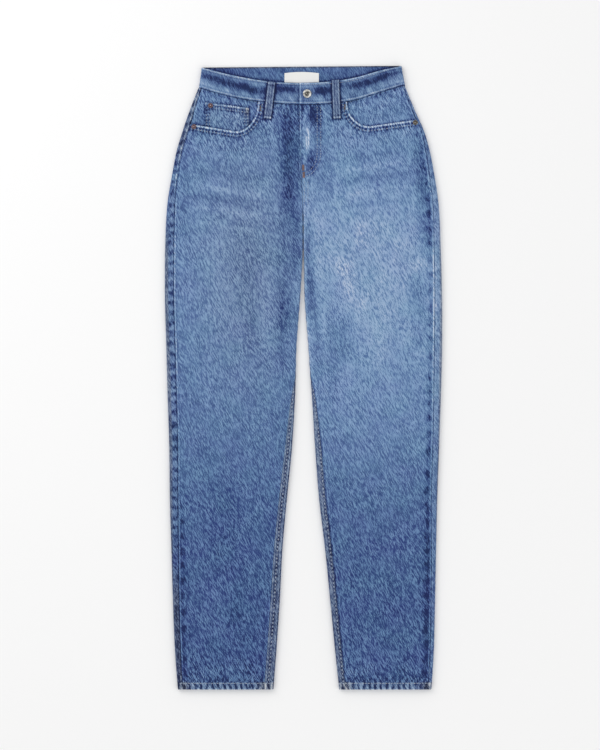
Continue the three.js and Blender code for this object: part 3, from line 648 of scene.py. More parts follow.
def back_wash(leg, found):
    """A back's wash: the underside is lightest on the seat and the thigh, and is read far aside, where the
    front's soft lines aren't. On top, the strip beside the outseam is drawn in to dark spots, and the one
    beside the inseam is ribbed by its felled seam."""
    s, y = found.section, found.level
    right = leg.side < 0
    out_share = (found.out - s.inner) / (s.outer - s.inner)
    under = wash_and_shade_at(leg, found.x + 400, y, out_share) + 0.02
    strip = mix(0.46, wash_and_shade_at(leg, found.x, y, out_share), 0.5)
    d = found.to_outseam
    uneven = 0.09 * noise(found.x / 2.2, y / 5, 22) + 0.07 * noise(found.x / 6, y / 11, 24)
    hips = ease(y, 280, 330)
    if right:
        low = ease(y, -240, -340)
        blotch = spots(y + 3 * noise(d / 4, y / 7, 25), 17, 5) * (1 - low)
        outer = strip + (1 - low) * (0.14 - 0.50 * blotch) * ease(d, 10.5, 8) - 0.20 * low * bell(d - 4, 3)
        outer = outer - 0.36 * bell(d, 0.8) + 0.36 * hips * bell(d - 2.2, 0.8) - 0.16 * hips * ease(d, 3, 5)
    else:
        blotch = spots(y, 21, 6) * (0.2 + 0.8 * hips)
        outer = strip + 0.10 - 0.40 * blotch * bell(d - 5, 3) - 0.32 * bell(d, 0.8)
        outer = outer + 0.14 * bell(d - 2.2, 1.0)
    outer = outer + uneven - 0.10 * bell(d - 12, 3)
    d = found.to_inseam
    inset = read(leg.rows, 4, y)
    if right:
        ribs = 0.28 * bell(d - 1.2, 0.9) - 0.34 * bell(d - 0.4 * inset, 2.6)
        ribs = ribs + 0.40 * bell(d - inset + 3.0, 0.9) - 0.30 * bell(d - inset + 0.6, 1.3)
    else:
        ribs = 0.20 * bell(d - inset + 4.6, 0.9) - 0.30 * bell(d - 0.22 * inset, 2.2)
        ribs = ribs - 0.12 * bell(d - inset, 2.2)
    inner = strip + 0.02 + ribs + uneven
    upper = np.where(found.inward, inner, outer) + hem_marks(found.x, y)
    return np.where(found.upper | (found.z > 1), upper, under)


def back_grey(found):
    """How far the indigo has gone to grey: along the outer fold, the inseam's felled strip and the hem."""
    shown = found.upper | (found.z > 1.5)
    hem = ease(found.level, HEM_TOP + 2, HEM_TOP - 1)
    fold = 0.62 * ease(found.to_outseam, 7, 11) * ease(found.level, 300, 200)
    right = found.section.leg.side < 0
    ends = 0.6 * (ease(found.level, -290, -380) + 0.8 * ease(found.level, 330, 400)) * right
    outer = np.maximum(np.maximum(fold, ends), 0.1)
    strip = np.where(found.inward, 0.5 * found.section.parted, outer)
    return np.where(shown, np.maximum(strip, 0.7 * hem), 0.0)


def back(leg, material):
    """A back leg. Under its patch pocket the cloth rises by the pocket's own thickness."""
    count = sum(BACK_STEPS) + RISE_STEPS + 1

    def past_yoke(level):
        return level - yoke_level(back_surface(leg, level).out) + HALF_GAP

    top = level_where(past_yoke, SEAT_TOP, 480, (1, count))
    upper = SEAT_TOP + (top - SEAT_TOP) * spaced(0, 18, 0.95, 3, 1)[1:, None]
    found = back_surface(leg, np.concatenate([np.repeat(LEG_LEVELS[:, None], count, 1), upper]))
    inner_skin = found.point - found.normal * wall_at(found.level)[..., None]
    raised = (PATCH_WALL + SEAM_GAP) * ease(patch_distance(leg, found.x, found.level), 1.4, -0.4)
    raised = np.where(found.upper, 0, raised)
    found.point[..., 2] += raised
    inner_skin[..., 2] += raised
    return panel("back_" + leg.name, found.point, inner_skin, material, fade=back_wash(leg, found),
                 grey=back_grey(found), edge=found.level - HEM_LEVEL, rope=0.0, ridge=0.0)


def yoke(leg, material):
    """A yoke: from the outseam on top, round the side and across the underside to the centre back."""
    count = sum(BACK_STEPS) + YOKE_RISE_STEPS + 1

    def past_back(level):
        return level - yoke_level(back_surface(leg, level, False).out) - HALF_GAP

    def past_waist(level):
        found = back_surface(leg, level, False)
        share = np.clip(found.z / LAY_HEIGHT, 0, 1)
        return level - mix(back_top(found.x) - BACK_BAND_DEPTH, waist_seam(found.x), share) + SEAM_GAP

    low = level_where(past_back, SEAT_TOP, 480, (1, count))
    high = level_where(past_waist, SEAT_TOP, 505, (1, count))
    found = back_surface(leg, low + (high - low) * spaced(0, 24, 1)[:, None], False)
    inner_skin = found.point - found.normal * DENIM
    return panel("yoke_" + leg.name, found.point, inner_skin, material, fade=back_wash(leg, found),
                 grey=back_grey(found), edge=found.level - low, rope=found.x / 6,
                 ridge=np.where(found.upper, 0.0, 0.8))


def back_pocket(leg, material):
    """A patch pocket, flush with the underside: a grid between its slanting sides, down to its pointed
    foot."""
    across = np.linspace(-1, 1, 61)
    y = mix(mix(PATCH.tip, PATCH.shoulder, np.abs(across)), PATCH.top, spaced(0, 60, 1)[:, None])
    raised = np.clip((y - PATCH.shoulder) / (PATCH.top - PATCH.shoulder), 0, 1)
    x = leg.side * PATCH.out + across * mix(PATCH.half - PATCH.slant, PATCH.half, raised)
    inside = -patch_distance(leg, x, y)
    outer = np.stack([x, y, 0.35 * ease(inside, 0.8, 0)], -1)
    inner_skin = np.stack([x, y, np.full(x.shape, PATCH_WALL)], -1)
    wash = 0.68 - 0.12 * ease(inside, 14, 0) + 0.04 * noise(x / 20, y / 26, 31)
    return panel("back_pocket_" + leg.name, outer, inner_skin, material, fade=wash, grey=0.0,
                 edge=inside, rope=(x + y) / 5.4, ridge=0.9)


def facing_drop(leg, out, level):
    """How far a facing lies below the front's top: under the mouth's edge by the layers above it, and rising
    almost level with the front away from it."""
    mouth = leg.mouth
    edge_out = mix(mouth.inner, mouth.side_out + 20, np.linspace(0, 1, 70)[1:] ** 2)
    gap, _ = curve_distance(out, level, (edge_out, mouth_level(leg, edge_out)))
    past = np.where(level <= mouth_level(leg, out), 0, gap)
    coin_layer = COIN_WALL + LAY_GAP if leg.side < 0 else 0
    beside_coin = ease(out, COIN.inner - 14, COIN.inner - 2) * ease(out, COIN.outer + 19, COIN.outer + 5)
    return (FLY_DIP + coin_layer * beside_coin) * (1 - 0.9 * ease(past, 0, 28))


def facing(leg, material):
    """The denim that shows inside a pocket mouth, from under the front's edge up to the waist seam."""
    start = leg.mouth.inner - FACING_HIDDEN + DENIM
    columns = np.linspace(0, 1, 76) ** 1.25

    def out_at(level):
        side_seam = read(leg.rows, 1, level) - read(leg.rows, 3, level) - HALF_GAP
        return mix(start, side_seam, columns)

    shape = (1, len(columns))
    low = level_where(lambda at: at - mouth_level(leg, out_at(at), FACING_HIDDEN), MOUTH_FOOT, 480, shape)
    high = level_where(lambda at: at - waist_seam(leg.side * out_at(at)) + HALF_GAP, MOUTH_FOOT, 505, shape)
    y = mix(low, high, np.linspace(0, 1, 52)[:, None])
    out = out_at(y)
    x = leg.side * out
    z = LAY_HEIGHT - facing_drop(leg, out, y) + 0.5 * relief(x, y)
    outer = np.stack([x, y, z], -1)
    s = section_at(leg, y)
    wash = wash_and_shade_at(leg, x, y, (out - s.inner) / (s.outer - s.inner)) + 0.02
    to_mouth, _ = curve_distance(out, y, mouth_path(leg))
    to_seam = s.outer - read(leg.rows, 3, y) - out
    # The darkening along the pocket mouth is painted shadow under the front's edge
    wash = wash - 0.48 * bell(to_mouth, 2.8) + 0.30 * bell(to_seam - 2.6, 1.2)
    wash = wash - 0.32 * bell(to_seam - 0.4, 1.2) - 0.14 * bell(to_seam - 5.4, 1.6)
    if leg.side < 0:
        # Painted shadow round the coin pocket's edges
        past_coin = np.maximum.reduce([out - COIN.outer, COIN.inner - out, y - coin_top(out)])
        wash = wash - 0.50 * bell(past_coin, 3.2) * (past_coin > 0)
    return panel("pocket_facing_" + leg.name, outer, outer - [0, 0, FACING_WALL], material, fade=wash,
                 grey=0.0, edge=high - y + 7, rope=x / 8, ridge=0.5)


def coin_top(out):
    """The level of the coin pocket's slanting top edge."""
    return mix(COIN.inner_top, COIN.outer_top, (out - COIN.inner) / (COIN.outer - COIN.inner))


def coin_height(out, y):
    """The height of the coin pocket's top, without the relief."""
    return LAY_HEIGHT - facing_drop(RIGHT_LEG, out, y) + LAY_GAP + COIN_WALL


def on_coin(out, y, above=0.0):
    """Points on the top of the coin pocket, or a height above it."""
    return np.stack([-out, y, coin_height(out, y) + 0.5 * relief(-out, y) + above], -1)


def coin_pocket(material):
    """The coin pocket on the right facing, with a slanting turned top edge."""
    across = spaced(0, 2, 0.015, 44, 0.985, 2, 1)
    share = spaced(0, 30, 0.97, 3, 1)[:, None]
    out = mix(COIN.inner, COIN.outer, across) + 0 * share
    high = coin_top(out)
    y = mix(mouth_level(RIGHT_LEG, out) - COIN_HIDDEN, high, share)
    to_side = np.minimum(out - COIN.inner, COIN.outer - out)
    outer = on_coin(out, y, -0.4 * ease(np.minimum(to_side, high - y), 0.9, 0))
    wash = 0.52 + 0.06 * noise(out / 8, y / 14, 41) - 0.10 * ease(to_side, 9, 2)
    to_mouth, _ = curve_distance(out, y, mouth_path(RIGHT_LEG))
    # The darkening along the pocket mouth is painted shadow under the front's edge
    wash = wash - 0.30 * bell(to_mouth, 3.0) + 0.10 * bell(high - y - 22, 9)
    worn_corner = bell(out - COIN.inner - 2, 4.5) * bell(high - y - 5, 9)
    wash = wash + 0.16 * worn_corner + 0.40 * bell(out - COIN.inner - 1.4, 1.1)
    seams = nearest((to_side + 3.4, y / 5.4, 0.7), (high - y, out / 4.6, 0.8))
    return panel("coin_pocket", outer, on_coin(out, y, -COIN_WALL), material, fade=wash,
                 grey=0.1 + 0.7 * worn_corner, **seams)


def front_band_level(x, share):
    """The level at a share of the front waistband's depth, from its seam up."""
    return mix(waist_seam(x) + HALF_GAP, waist_top(x), share)


def waistband(material):
    """The waistband as one strip: the underlap's end, the right fold, the back, the left fold and the
    overlap's end. The folds are half circles. Each part has its points, normals and place along the band."""
    fold = BAND_HEIGHT / 2
    share = spaced(0, 2, 0.03, 22, 0.97, 2, 1)[:, None]
    # Where the folds start and the back ends, counted along the band from its middle
    fold_place, back_place = 170, 340

    def strip(x, y, z, lean, up, along):
        x, y, z, lean, up, along = np.broadcast_arrays(x, y, z, lean, up, along)
        return np.stack([x, y, z], -1), np.stack([lean, 0 * x, up], -1), along

    def on_front(x, dip):
        return strip(x, front_band_level(x, share), BAND_HEIGHT - dip, 0, 1, x)

    def back_level(x):
        return back_top(x) - (BACK_BAND_DEPTH - HALF_GAP) * (1 - share)

    def on_fold(leg, turn):
        reach = leg.side * (mix(leg.band.seam, leg.band.top, share) - fold)
        lean = leg.side * np.sin(turn)
        x, z = reach + fold * lean, fold + fold * np.cos(turn)
        y = mix(back_level(x), front_band_level(x, share), np.clip(z / LAY_HEIGHT, 0, 1))
        return strip(x, y, z, lean, np.cos(turn), leg.side * (fold_place + turn * fold))

    lapped = spaced(BAND_LAP_X, 12, -3, 14, -19, 62, -146)
    overlap = spaced(146, 60, -5.5, 2, BAND_END_X)
    turns = np.linspace(0, np.pi, 13)
    back_half = 150
    behind = np.linspace(-back_half, back_half, 60)
    parts = [
        on_front(lapped, BAND_DIP * ease(lapped, -19, -9)),
        on_fold(RIGHT_LEG, turns),
        strip(behind, back_level(behind), 0.0, 0, -1, behind * back_place / back_half),
        on_fold(LEFT_LEG, turns[::-1]),
        on_front(overlap, 0.0),
    ]
    point, normal, along = (np.concatenate([part[k] for part in parts], 1) for k in range(3))
    depth = share * BACK_BAND_DEPTH + 0 * along
    to_edge = np.minimum(depth, BACK_BAND_DEPTH - depth)
    inner_skin = point - normal * BAND_WALL
    ripple = 0.25 * noise(along / 9, depth / 30, 51) * ease(to_edge, 1, 6) - 0.3 * ease(to_edge, 1.2, 0)
    point = point + normal * np.minimum(ripple, 0)[..., None]
    x, y, z = point[..., 0], point[..., 1], point[..., 2]
    upper = z > fold
    # Painted shadow beside the belt loops
    fade = band_wash(along, depth) - 0.8 * loop_shadow_nearness(x, y)
    overlap_end = np.where(z > BAND_HEIGHT - 1, np.abs(x - BAND_END_X), FAR)
    fade = fade + 0.34 * bell(overlap_end - 1.6, 1.2) - 0.34 * bell(overlap_end - 5, 1.3)
    # Painted shadow on the underlap beside the overlap's end
    fade = fade - 0.30 * bell(x - BAND_END_X, 2.5) * ((z > BAND_HEIGHT - 4) & (x < BAND_END_X))
    slanting = x + 0.8 * y
    inside = 0.37 + 0.13 * noise(slanting / 6, y / 14, 63) - 0.10 * ease(np.abs(x), 90, 150)
    # Painted shadow on the back band's inner face under the front band's top edge
    inside = inside - 0.46 * bell(y - waist_top(x) - 1, 2.6)
    top_edge = ease(depth, 33, 35)
    fade = np.where(upper, fade, inside - 0.14 * top_edge)
    grey = np.where(upper, 0.1, 0.85 * top_edge)
    return panel("waistband", point, inner_skin, material, fade=fade, grey=grey, edge=FAR, rope=0.0,
                 ridge=0.0)


# Where the waistband kept its indigo: place along it, how strongly, and the height of its middle
BAND_NAVY = [
    (-176, 0.4, 22), (-164, 0.9, 23), (-120, 1.0, 21), (-88, 1.0, 19), (-70, 0.9, 18), (-48, 0.8, 24),
    (-34, 0.95, 25), (-19, 0.85, 24), (-8, 0.3, 22), (14, 0.45, 24), (23, 1.0, 23), (44, 0.85, 22),
    (58, 0.4, 23), (76, 0.8, 24), (96, 0.9, 23), (130, 1.0, 22.6), (154, 0.75, 27), (168, 0.4, 26),
]


def band_wash(along, depth):
    """The waistband's wash: navy along its middle, paler slanting creases under it, a pale turned upper edge
    between two dark lines, and a rubbed line and a dark one along the lower seam."""
    wander = 2.0 * noise(along / 14, along * 0 + 0.5, 65)
    off = depth - read(BAND_NAVY, 2, along) - wander
    patchy = 0.82 + 0.18 * noise(along / 9, depth / 7, 61)
    navy = read(BAND_NAVY, 1, along) * bell(off, 7.6) * patchy
    slanting = along + 0.8 * depth
    creases = 0.17 * noise(slanting / 5, depth / 9, 62) + 0.10 * noise(slanting / 2.4, depth / 5, 64)
    creases = creases * (1.3 - 0.7 * ease(depth, 14, 22))
    turned_edge = 0.34 * bell(depth - 34.8, 1.1) - 0.20 * bell(depth - 32.2, 1.1)
    turned_edge = turned_edge + 0.10 * bell(depth - 29.5, 1.8)
    seam = 0.28 * bell(depth - 2.9, 0.9) - 0.52 * bell(depth, 1.3) - 0.24 * bell(depth - 5.4, 1.2)
    return 0.66 - 0.90 * navy + creases + turned_edge + seam


def belt_loop(name, material):
    """A belt loop: a strip over the waistband that steps down to the front below it, with a raised fold
    along each side."""
    (bottom_x, bottom_y), (top_x, top_y) = LOOPS[name]
    seam = waist_seam(np.array(bottom_x))
    level = spaced(bottom_y, 1, bottom_y + 0.7, 10, seam - 8, 8, seam, 14, top_y - 0.7, 1, top_y)
    across = spaced(-1, 2, -0.9, 3, -0.6, 4, 0.6, 3, 0.9, 2, 1)
    lean, rise = top_x - bottom_x, top_y - bottom_y
    step = across * LOOP_HALF_WIDTH / math.hypot(lean, rise)
    x = bottom_x + lean * ((level - bottom_y) / rise)[:, None] + rise * step
    y = level[:, None] - lean * step
    foot = mix(LAY_HEIGHT, BAND_HEIGHT, ease(level, seam - 7, seam - 1))[:, None] + SEAM_GAP
    ends = np.minimum(level - bottom_y, top_y - level)[:, None]
    aside = np.abs(across)
    crown = 0.35 * bell(aside - 0.72, 0.16) - 0.45 * ease(aside, 0.86, 1)
    crown = crown - 0.5 * ease(ends, 1.2, 0) + 0.12 * noise(x / 3, y / 4, 71)
    outer = np.stack([x, y, foot + LOOP_WALL + crown], -1)
    inner_skin = np.stack([x, y, foot + 0 * x], -1)
    # The darkening at the loop's long edges and at its ends is painted shade
    wash = 0.44 + 0.46 * bell(aside - 0.72, 0.13) - 0.32 * bell(aside - 0.40, 0.14)
    wash = wash - 0.60 * bell(aside - 1, 0.18) + 0.20 * bell(across, 0.2) + 0.12 * noise(x / 2.5, y / 4, 72)
    wash = wash + 0.42 * bell(ends - 2.0, 1.2) - 0.40 * bell(ends - 5, 1.2) - 0.3 * bell(ends, 0.6)
    return panel(name, outer, inner_skin, material, fade=wash, grey=0.4, edge=FAR, rope=0.0, ridge=0.0)


def turned(node, profile, segments, place, material, hollows):
    """The round piece that stands for a node, on an upright axis: its profile of radius and height is carried
    round a circle, and closed by one point at each end. Place gives x, y and what the heights start from.
    Hollows gives how dull the plate is by radius: pairs of radius and dullness."""
    x, y, base = place
    profile = np.array(profile, float) + [0, base]
    radius, height = profile[1:-1].T
    angle = np.linspace(0, 2 * np.pi, segments, endpoint=False)
    rings = np.stack([
        x + radius[:, None] * np.cos(angle), y + radius[:, None] * np.sin(angle), height[:, None] + 0 * angle,
    ], -1).reshape(-1, 3)
    points = np.concatenate([rings, [[x, y, profile[0][1]], [x, y, profile[-1][1]]]])
    at = np.arange(len(rings)).reshape(-1, segments)
    beside = np.roll(at, -1, 1)
    quads = np.stack([at[:-1], beside[:-1], beside[1:], at[1:]], -1).reshape(-1, 4)
    low = np.stack([beside[0], at[0], np.full(segments, len(rings))], -1)
    high = np.stack([at[-1], beside[-1], np.full(segments, len(rings) + 1)], -1)
    from_axis = np.hypot(points[:, 0] - x, points[:, 1] - y)
    dull = np.interp(from_axis, *np.array(hollows, float).T)
    made = put_mesh("metal_" + node, points, [quads, low, high], material, {"dull": dull})
    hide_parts(node)


def srgb(text):
    """A colour from its sRGB hex value, as linear red, green, blue and alpha. A number is a plain linear
    grey."""
    if isinstance(text, float):
        return (text, text, text, 1.0)
    parts = [int(text[k:k + 2], 16) / 255 for k in (0, 2, 4)]
    return (*[v / 12.92 if v <= 0.04045 else ((v + 0.055) / 1.055) ** 2.4 for v in parts], 1.0)


def set_inputs(tree, node, inputs):
    """Gives a node's inputs a value each, or another node's output."""
    for key, value in inputs.items():
        if isinstance(value, bpy.types.NodeSocket):
            tree.links.new(value, node.inputs[key])
        else:
            node.inputs[key].default_value = value


def add_node(tree, kind, inputs=None, stops=None, **settings):
    """Adds a node with its settings and inputs. Stops are places and hex colours along a colour ramp."""
    made = tree.nodes.new(kind)
    for name, value in settings.items():
        setattr(made, name, value)
    set_inputs(tree, made, inputs or {})
    for k, (place, colour) in enumerate(stops or []):
        ramp = made.color_ramp.elements
        element = ramp[k] if k < 2 else ramp.new(place)
        element.position = place
        element.color = srgb(colour)
    return made


def calculate(tree, operation, *values, **settings):
    """The result of a maths operation on values, which may be other nodes' outputs."""
    made = add_node(tree, "ShaderNodeMath", dict(enumerate(values)), operation=operation, **settings)
    return made.outputs[0]


def carry(tree, value, start, end, low, high, **settings):
    """A value carried over from the range between start and end to the one between low and high."""
    return add_node(tree, "ShaderNodeMapRange", {
        "Value": value, "From Min": start, "From Max": end, "To Min": low, "To Max": high,
    }, **settings).outputs[0]


def noise_by(tree, place, scale, detail, wander=0.0):
    """Smooth noise by place."""
    return add_node(tree, "ShaderNodeTexNoise", {
        "Vector": place, "Scale": scale, "Detail": detail, "Distortion": wander,
    }).outputs["Fac"]


def colour_by(tree, value, stops):
    """The colour of a value on a colour ramp."""
    return add_node(tree, "ShaderNodeValToRGB", {"Fac": value}, stops=stops).outputs["Color"]


def attribute(tree, name):
    """A value that the mesh carries."""
    return add_node(tree, "ShaderNodeAttribute", attribute_name=name).outputs["Fac"]


def bump_of(tree, height, strength, distance):
    """The normal that a height gives the surface."""
    inputs = {"Height": height, "Strength": strength, "Distance": distance}
    return add_node(tree, "ShaderNodeBump", inputs).outputs[0]


def new_material(name):
    """An empty material: its nodes, its shader and the place in the object."""
    made = bpy.data.materials.new(name)
    made.use_nodes = True
    tree = made.node_tree
    tree.nodes.clear()
    shader = add_node(tree, "ShaderNodeBsdfPrincipled")
    add_node(tree, "ShaderNodeOutputMaterial", {"Surface": shader.outputs["BSDF"]})
    return made, tree, shader, add_node(tree, "ShaderNodeTexCoord").outputs["Object"]


# Indigo from the unworn yarn of a shaded fold to the bare cotton of a worn edge, and where it has gone grey
INDIGO = [
    (0.0, "1d2b58"), (0.15, "2c4078"), (0.32, "445d8b"), (0.5, "5875a4"), (0.68, "6b8ab3"), (0.82, "84a2c7"),
    (0.94, "9bb2d1"), (1.0, "c4d0e1"),
]
GREYED = [
    (0.0, "252a3a"), (0.2, "3c4457"), (0.4, "5d6577"), (0.6, "7d838f"), (0.8, "9c9fa5"), (1.0, "d3d2cf"),
]
# Over the first millimetres from a seam's edge: a rubbed lip, a dark groove, roping up to the second row of
# stitches, and a dark line. Places are shares of the reach.
EDGE_REACH = 16.0
SEAM_PROFILE = [
    (0.0, 0.4), (0.05, 0.82), (0.18, 0.78), (0.24, 0.04), (0.35, 0.08), (0.44, 0.34), (0.52, 0.30),
    (0.64, 0.12), (0.78, 0.42), (1.0, 0.5),
]
# Layers of streaks: length and width in metres, slant in radians, wander, and how strongly they show
STREAKS = [
    (0.0085, 0.0013, -1.04, 0.2, 1.20), (0.0066, 0.0012, -1.34, 0.2, 0.95),
    (0.0300, 0.0020, -1.57, 0.2, 0.15), (0.0012, 0.0012, 0.6, 0.0, 0.70),
]


def washed_denim(name, contrast, mottle):
    """Indigo denim, 3/1 twill, rope-dyed and stonewashed: slanting streaks of white weft between blue ribs,
    upright slubs of uneven yarn, and edges rubbed to bare cotton over darker roping. The ribs are 0.8 mm
    apart on the real cloth, and streaks 1.2 to 1.3 mm wide stand for them."""
    made, tree, shader, place = new_material(name)
    # The fade attribute carries the wash and the wear, and also the painted shade and shadow that the pieces
    # add to it
    fade, edge, rope = (attribute(tree, key) for key in ("fade", "edge", "rope"))
    ridge, grey = attribute(tree, "ridge"), attribute(tree, "grey")
    total = 0.0
    for length, width, slant, wander, amount in STREAKS:
        turned_place = add_node(tree, "ShaderNodeMapping", {
            "Vector": place, "Rotation": (0.0, 0.0, slant), "Scale": (length, width, width),
        }, vector_type="TEXTURE").outputs["Vector"]
        centred = calculate(tree, "ADD", noise_by(tree, turned_place, 1.0, 0.0, wander), -0.5)
        total = calculate(tree, "MULTIPLY_ADD", centred, amount, total)
    # Pale weft shows most where the warp is still dark, and dark warp where it has faded. Both show more
    # where a seam draws the cloth, and come and go in patches.
    weave = carry(tree, total, -0.34, 0.34, -0.22, 0.22, interpolation_type="SMOOTHSTEP")
    flecks = []
    for kept, on_dark, on_pale in (("MAXIMUM", 1.55, 0.22), ("MINIMUM", 0.80, 1.50)):
        share = carry(tree, fade, 0.3, 0.85, on_dark * contrast, on_pale * contrast)
        flecks.append(calculate(tree, "MULTIPLY", calculate(tree, kept, weave, 0.0), share))
    drawn = carry(tree, edge, 14.0, 60.0, 1.4, 1.0)
    patchy = carry(tree, noise_by(tree, place, 30.0, 1.0), 0.35, 0.65, 0.88, 1.12)
    showing = calculate(tree, "MULTIPLY", drawn, patchy)
    total = calculate(tree, "MULTIPLY_ADD", calculate(tree, "ADD", *flecks), showing, fade)
    clouds = calculate(tree, "ADD", noise_by(tree, place, 42.0, 3.0), -0.5)
    total = calculate(tree, "MULTIPLY_ADD", clouds, mottle, total)
    share = calculate(tree, "MULTIPLY", edge, 1 / EDGE_REACH, use_clamp=True)
    lifted = calculate(tree, "ADD", colour_by(tree, share, SEAM_PROFILE), -0.5)
    lifted = calculate(tree, "MULTIPLY", lifted, ridge)
    total = calculate(tree, "MULTIPLY_ADD", lifted, 0.95, total)
    # Roping: slanting waves along the seam, uneven in their beat, that end past the second row
    beat = calculate(tree, "MULTIPLY", rope, 2 * math.pi)
    beat = calculate(tree, "MULTIPLY_ADD", noise_by(tree, place, 110.0, 1.0), 6.0, beat)
    inside = calculate(tree, "MULTIPLY", carry(tree, edge, 14.0, 9.0, 0.0, 0.30), ridge)
    inside = calculate(tree, "MULTIPLY", inside, carry(tree, edge, 2.0, 4.5, 0.2, 1.0))
    total = calculate(tree, "MULTIPLY_ADD", calculate(tree, "SINE", beat), inside, total)
    # The dye has gone a little greener in some patches than in others
    hue = carry(tree, noise_by(tree, place, 22.0, 2.0), 0.3, 0.7, 0.493, 0.506)
    blue = add_node(tree, "ShaderNodeHueSaturation", {"Hue": hue, "Color": colour_by(tree, total, INDIGO)})
    set_inputs(tree, shader, {
        "Base Color": add_node(tree, "ShaderNodeMix", {
            "Factor": grey, 6: blue.outputs["Color"], 7: colour_by(tree, total, GREYED),
        }, data_type="RGBA").outputs[2],
        "Normal": bump_of(tree, weave, 0.6, 0.0012), "Roughness": 0.92, "Specular IOR Level": 0.2,
    })
    return made


def spun_thread(name, light, dark):
    """Core-spun polyester and cotton sewing thread, faded by the wash: matt, a little uneven along its
    length."""
    made, tree, shader, place = new_material(name)
    colour = colour_by(tree, noise_by(tree, place, 260.0, 2.0), [(0.35, dark), (0.65, light)])
    set_inputs(tree, shader, {"Base Color": colour, "Roughness": 0.8})
    return made


def plated_metal(name, clean, dull, dark, roughness):
    """Plated brass, pressed to shape and tumbled with the wash: the plate is bright on the raised edges and
    dulled in the hollows and in small spots."""
    made, tree, shader, place = new_material(name)
    speckle = noise_by(tree, place, 420.0, 3.0)
    bright = calculate(tree, "MULTIPLY_ADD", attribute(tree, "dull"), -0.5, speckle)
    set_inputs(tree, shader, {
        "Base Color": colour_by(tree, bright, [(0.0, dark), (0.3, dull), (0.6, clean)]),
        "Roughness": carry(tree, speckle, 0.3, 0.7, roughness + 0.15, roughness),
        "Normal": bump_of(tree, speckle, 0.2, 0.0002), "Metallic": 1.0,
    })
    return made


def woven_tape(name):
    """Damask-woven polyester label tape: close even threads and a faint sheen."""
    made, tree, shader, place = new_material(name)
    threads = add_node(tree, "ShaderNodeTexWave", {
        "Vector": place, "Scale": 160.0, "Distortion": 0.6, "Detail": 1.0,
    }, bands_direction="Y").outputs["Fac"]
    set_inputs(tree, shader, {
        "Base Color": colour_by(tree, threads, [(0.0, "e2e2e0"), (1.0, "f6f6f4")]),
        "Normal": bump_of(tree, threads, 0.3, 0.0003), "Roughness": 0.6,
    })
    return made


# One stitch: four rings of five points on a bent rod, from end to end. Its middle rises above its ends, which
# are sunk in the cloth.
STITCH_SHARES = np.array([0.0, 0.22, 0.78, 1.0])
STITCH_GIRTHS = np.array([0.45, 1.0, 1.0, 0.45])
STITCH_SIDES = 5
STITCH_RISE = 0.3
STITCH_SUNK = 0.05


def stitches_along(path, length=3.6, gap=1.2, width=0.95):
    """Stitches laid end to end along a path of points on the cloth: each is a rod that rises from the cloth
    at its ends to its full height between them. Returns points, and faces by their number of corners."""
    path = np.asarray(path, float)
    along = np.concatenate([[0], np.cumsum(np.linalg.norm(np.diff(path, axis=0), axis=1))])
    count = max(1, int((along[-1] + gap) // (length + gap)))
    start = (along[-1] - count * (length + gap) + gap) / 2 + np.arange(count) * (length + gap)

    def at(distance):
        return np.stack([np.interp(distance, along, path[:, k]) for k in range(3)], -1)

    low, high = at(start), at(start + length)
    forward = (high - low) / np.linalg.norm(high - low, axis=1, keepdims=True)
    aside = np.cross(forward, [0.0, 0.0, 1.0])
    aside /= np.maximum(np.linalg.norm(aside, axis=1, keepdims=True), 1e-9)
    upward = np.cross(aside, forward)
    middle = low[:, None] + (high - low)[:, None] * STITCH_SHARES[:, None]
    height = STITCH_RISE * np.sin(np.pi * STITCH_SHARES) - STITCH_SUNK
    middle = middle + upward[:, None] * height[:, None]
    angle = np.arange(STITCH_SIDES)[:, None] * 2 * np.pi / STITCH_SIDES
    ring = aside[:, None] * np.cos(angle) * width / 2 + upward[:, None] * np.sin(angle) * width / 3
    points = middle[:, :, None] + ring[:, None] * STITCH_GIRTHS[:, None, None]
    rings = len(STITCH_SHARES)
    index = np.arange(count * rings * STITCH_SIDES).reshape(count, rings, STITCH_SIDES)
    beside = np.roll(index, -1, 2)
    quads = np.stack([index[:, :-1], index[:, 1:], beside[:, 1:], beside[:, :-1]], -1).reshape(-1, 4)
    caps = np.concatenate([index[:, 0], index[:, -1, ::-1]])
    return points.reshape(-1, 3), quads, caps


def sewing(name, paths, material, slot, **sizes):
    """Rows of stitches as one piece."""
    points, quads, caps, count = [], [], [], 0
    for path in paths:
        made = stitches_along(path, **sizes)
        points.append(made[0])
        quads.append(made[1] + count)
        caps.append(made[2] + count)
        count += len(made[0])
    faces = [np.concatenate(quads), np.concatenate(caps)]
    piece = put_mesh(name, np.concatenate(points), faces, material, {})


def on_front_skin(x, y, above=0.0):
    """Points on the top of the cloth at places in x and y, away from the folds."""
    return np.stack([x, y, LAY_HEIGHT + relief(x, y) + above], -1)


def on_band(x, depth):
    """Points on the top of the front waistband, at a depth from its seam."""
    return np.stack([x, waist_seam(x) + HALF_GAP + depth, BAND_HEIGHT + 0 * x], -1)


def bar_tacks(name, places, material, width):
    """Upright bar tacks 9 mm long: close stitches as long as a tack is wide, one above the other."""
    rows = []
    for x, y in places:
        for level in np.linspace(y - 4.5, y + 4.5, 11):
            rows.append(on_front_skin(np.array([x + width / 2, x - width / 2]), np.full(2, level), 0.3))
    sewing(name, rows, material, "denim", length=width - 0.1, gap=0.05, width=0.8)


def inseam_path(leg, share):
    """A path up a leg's inseam, on the back's strip beside it, at a share of the strip's width."""
    level = np.linspace(HEM_TOP, -20, 164)
    s = section_at(leg, level)
    return ring_point(s, s.inseam - share * read(leg.rows, 4, level) - s.half).point


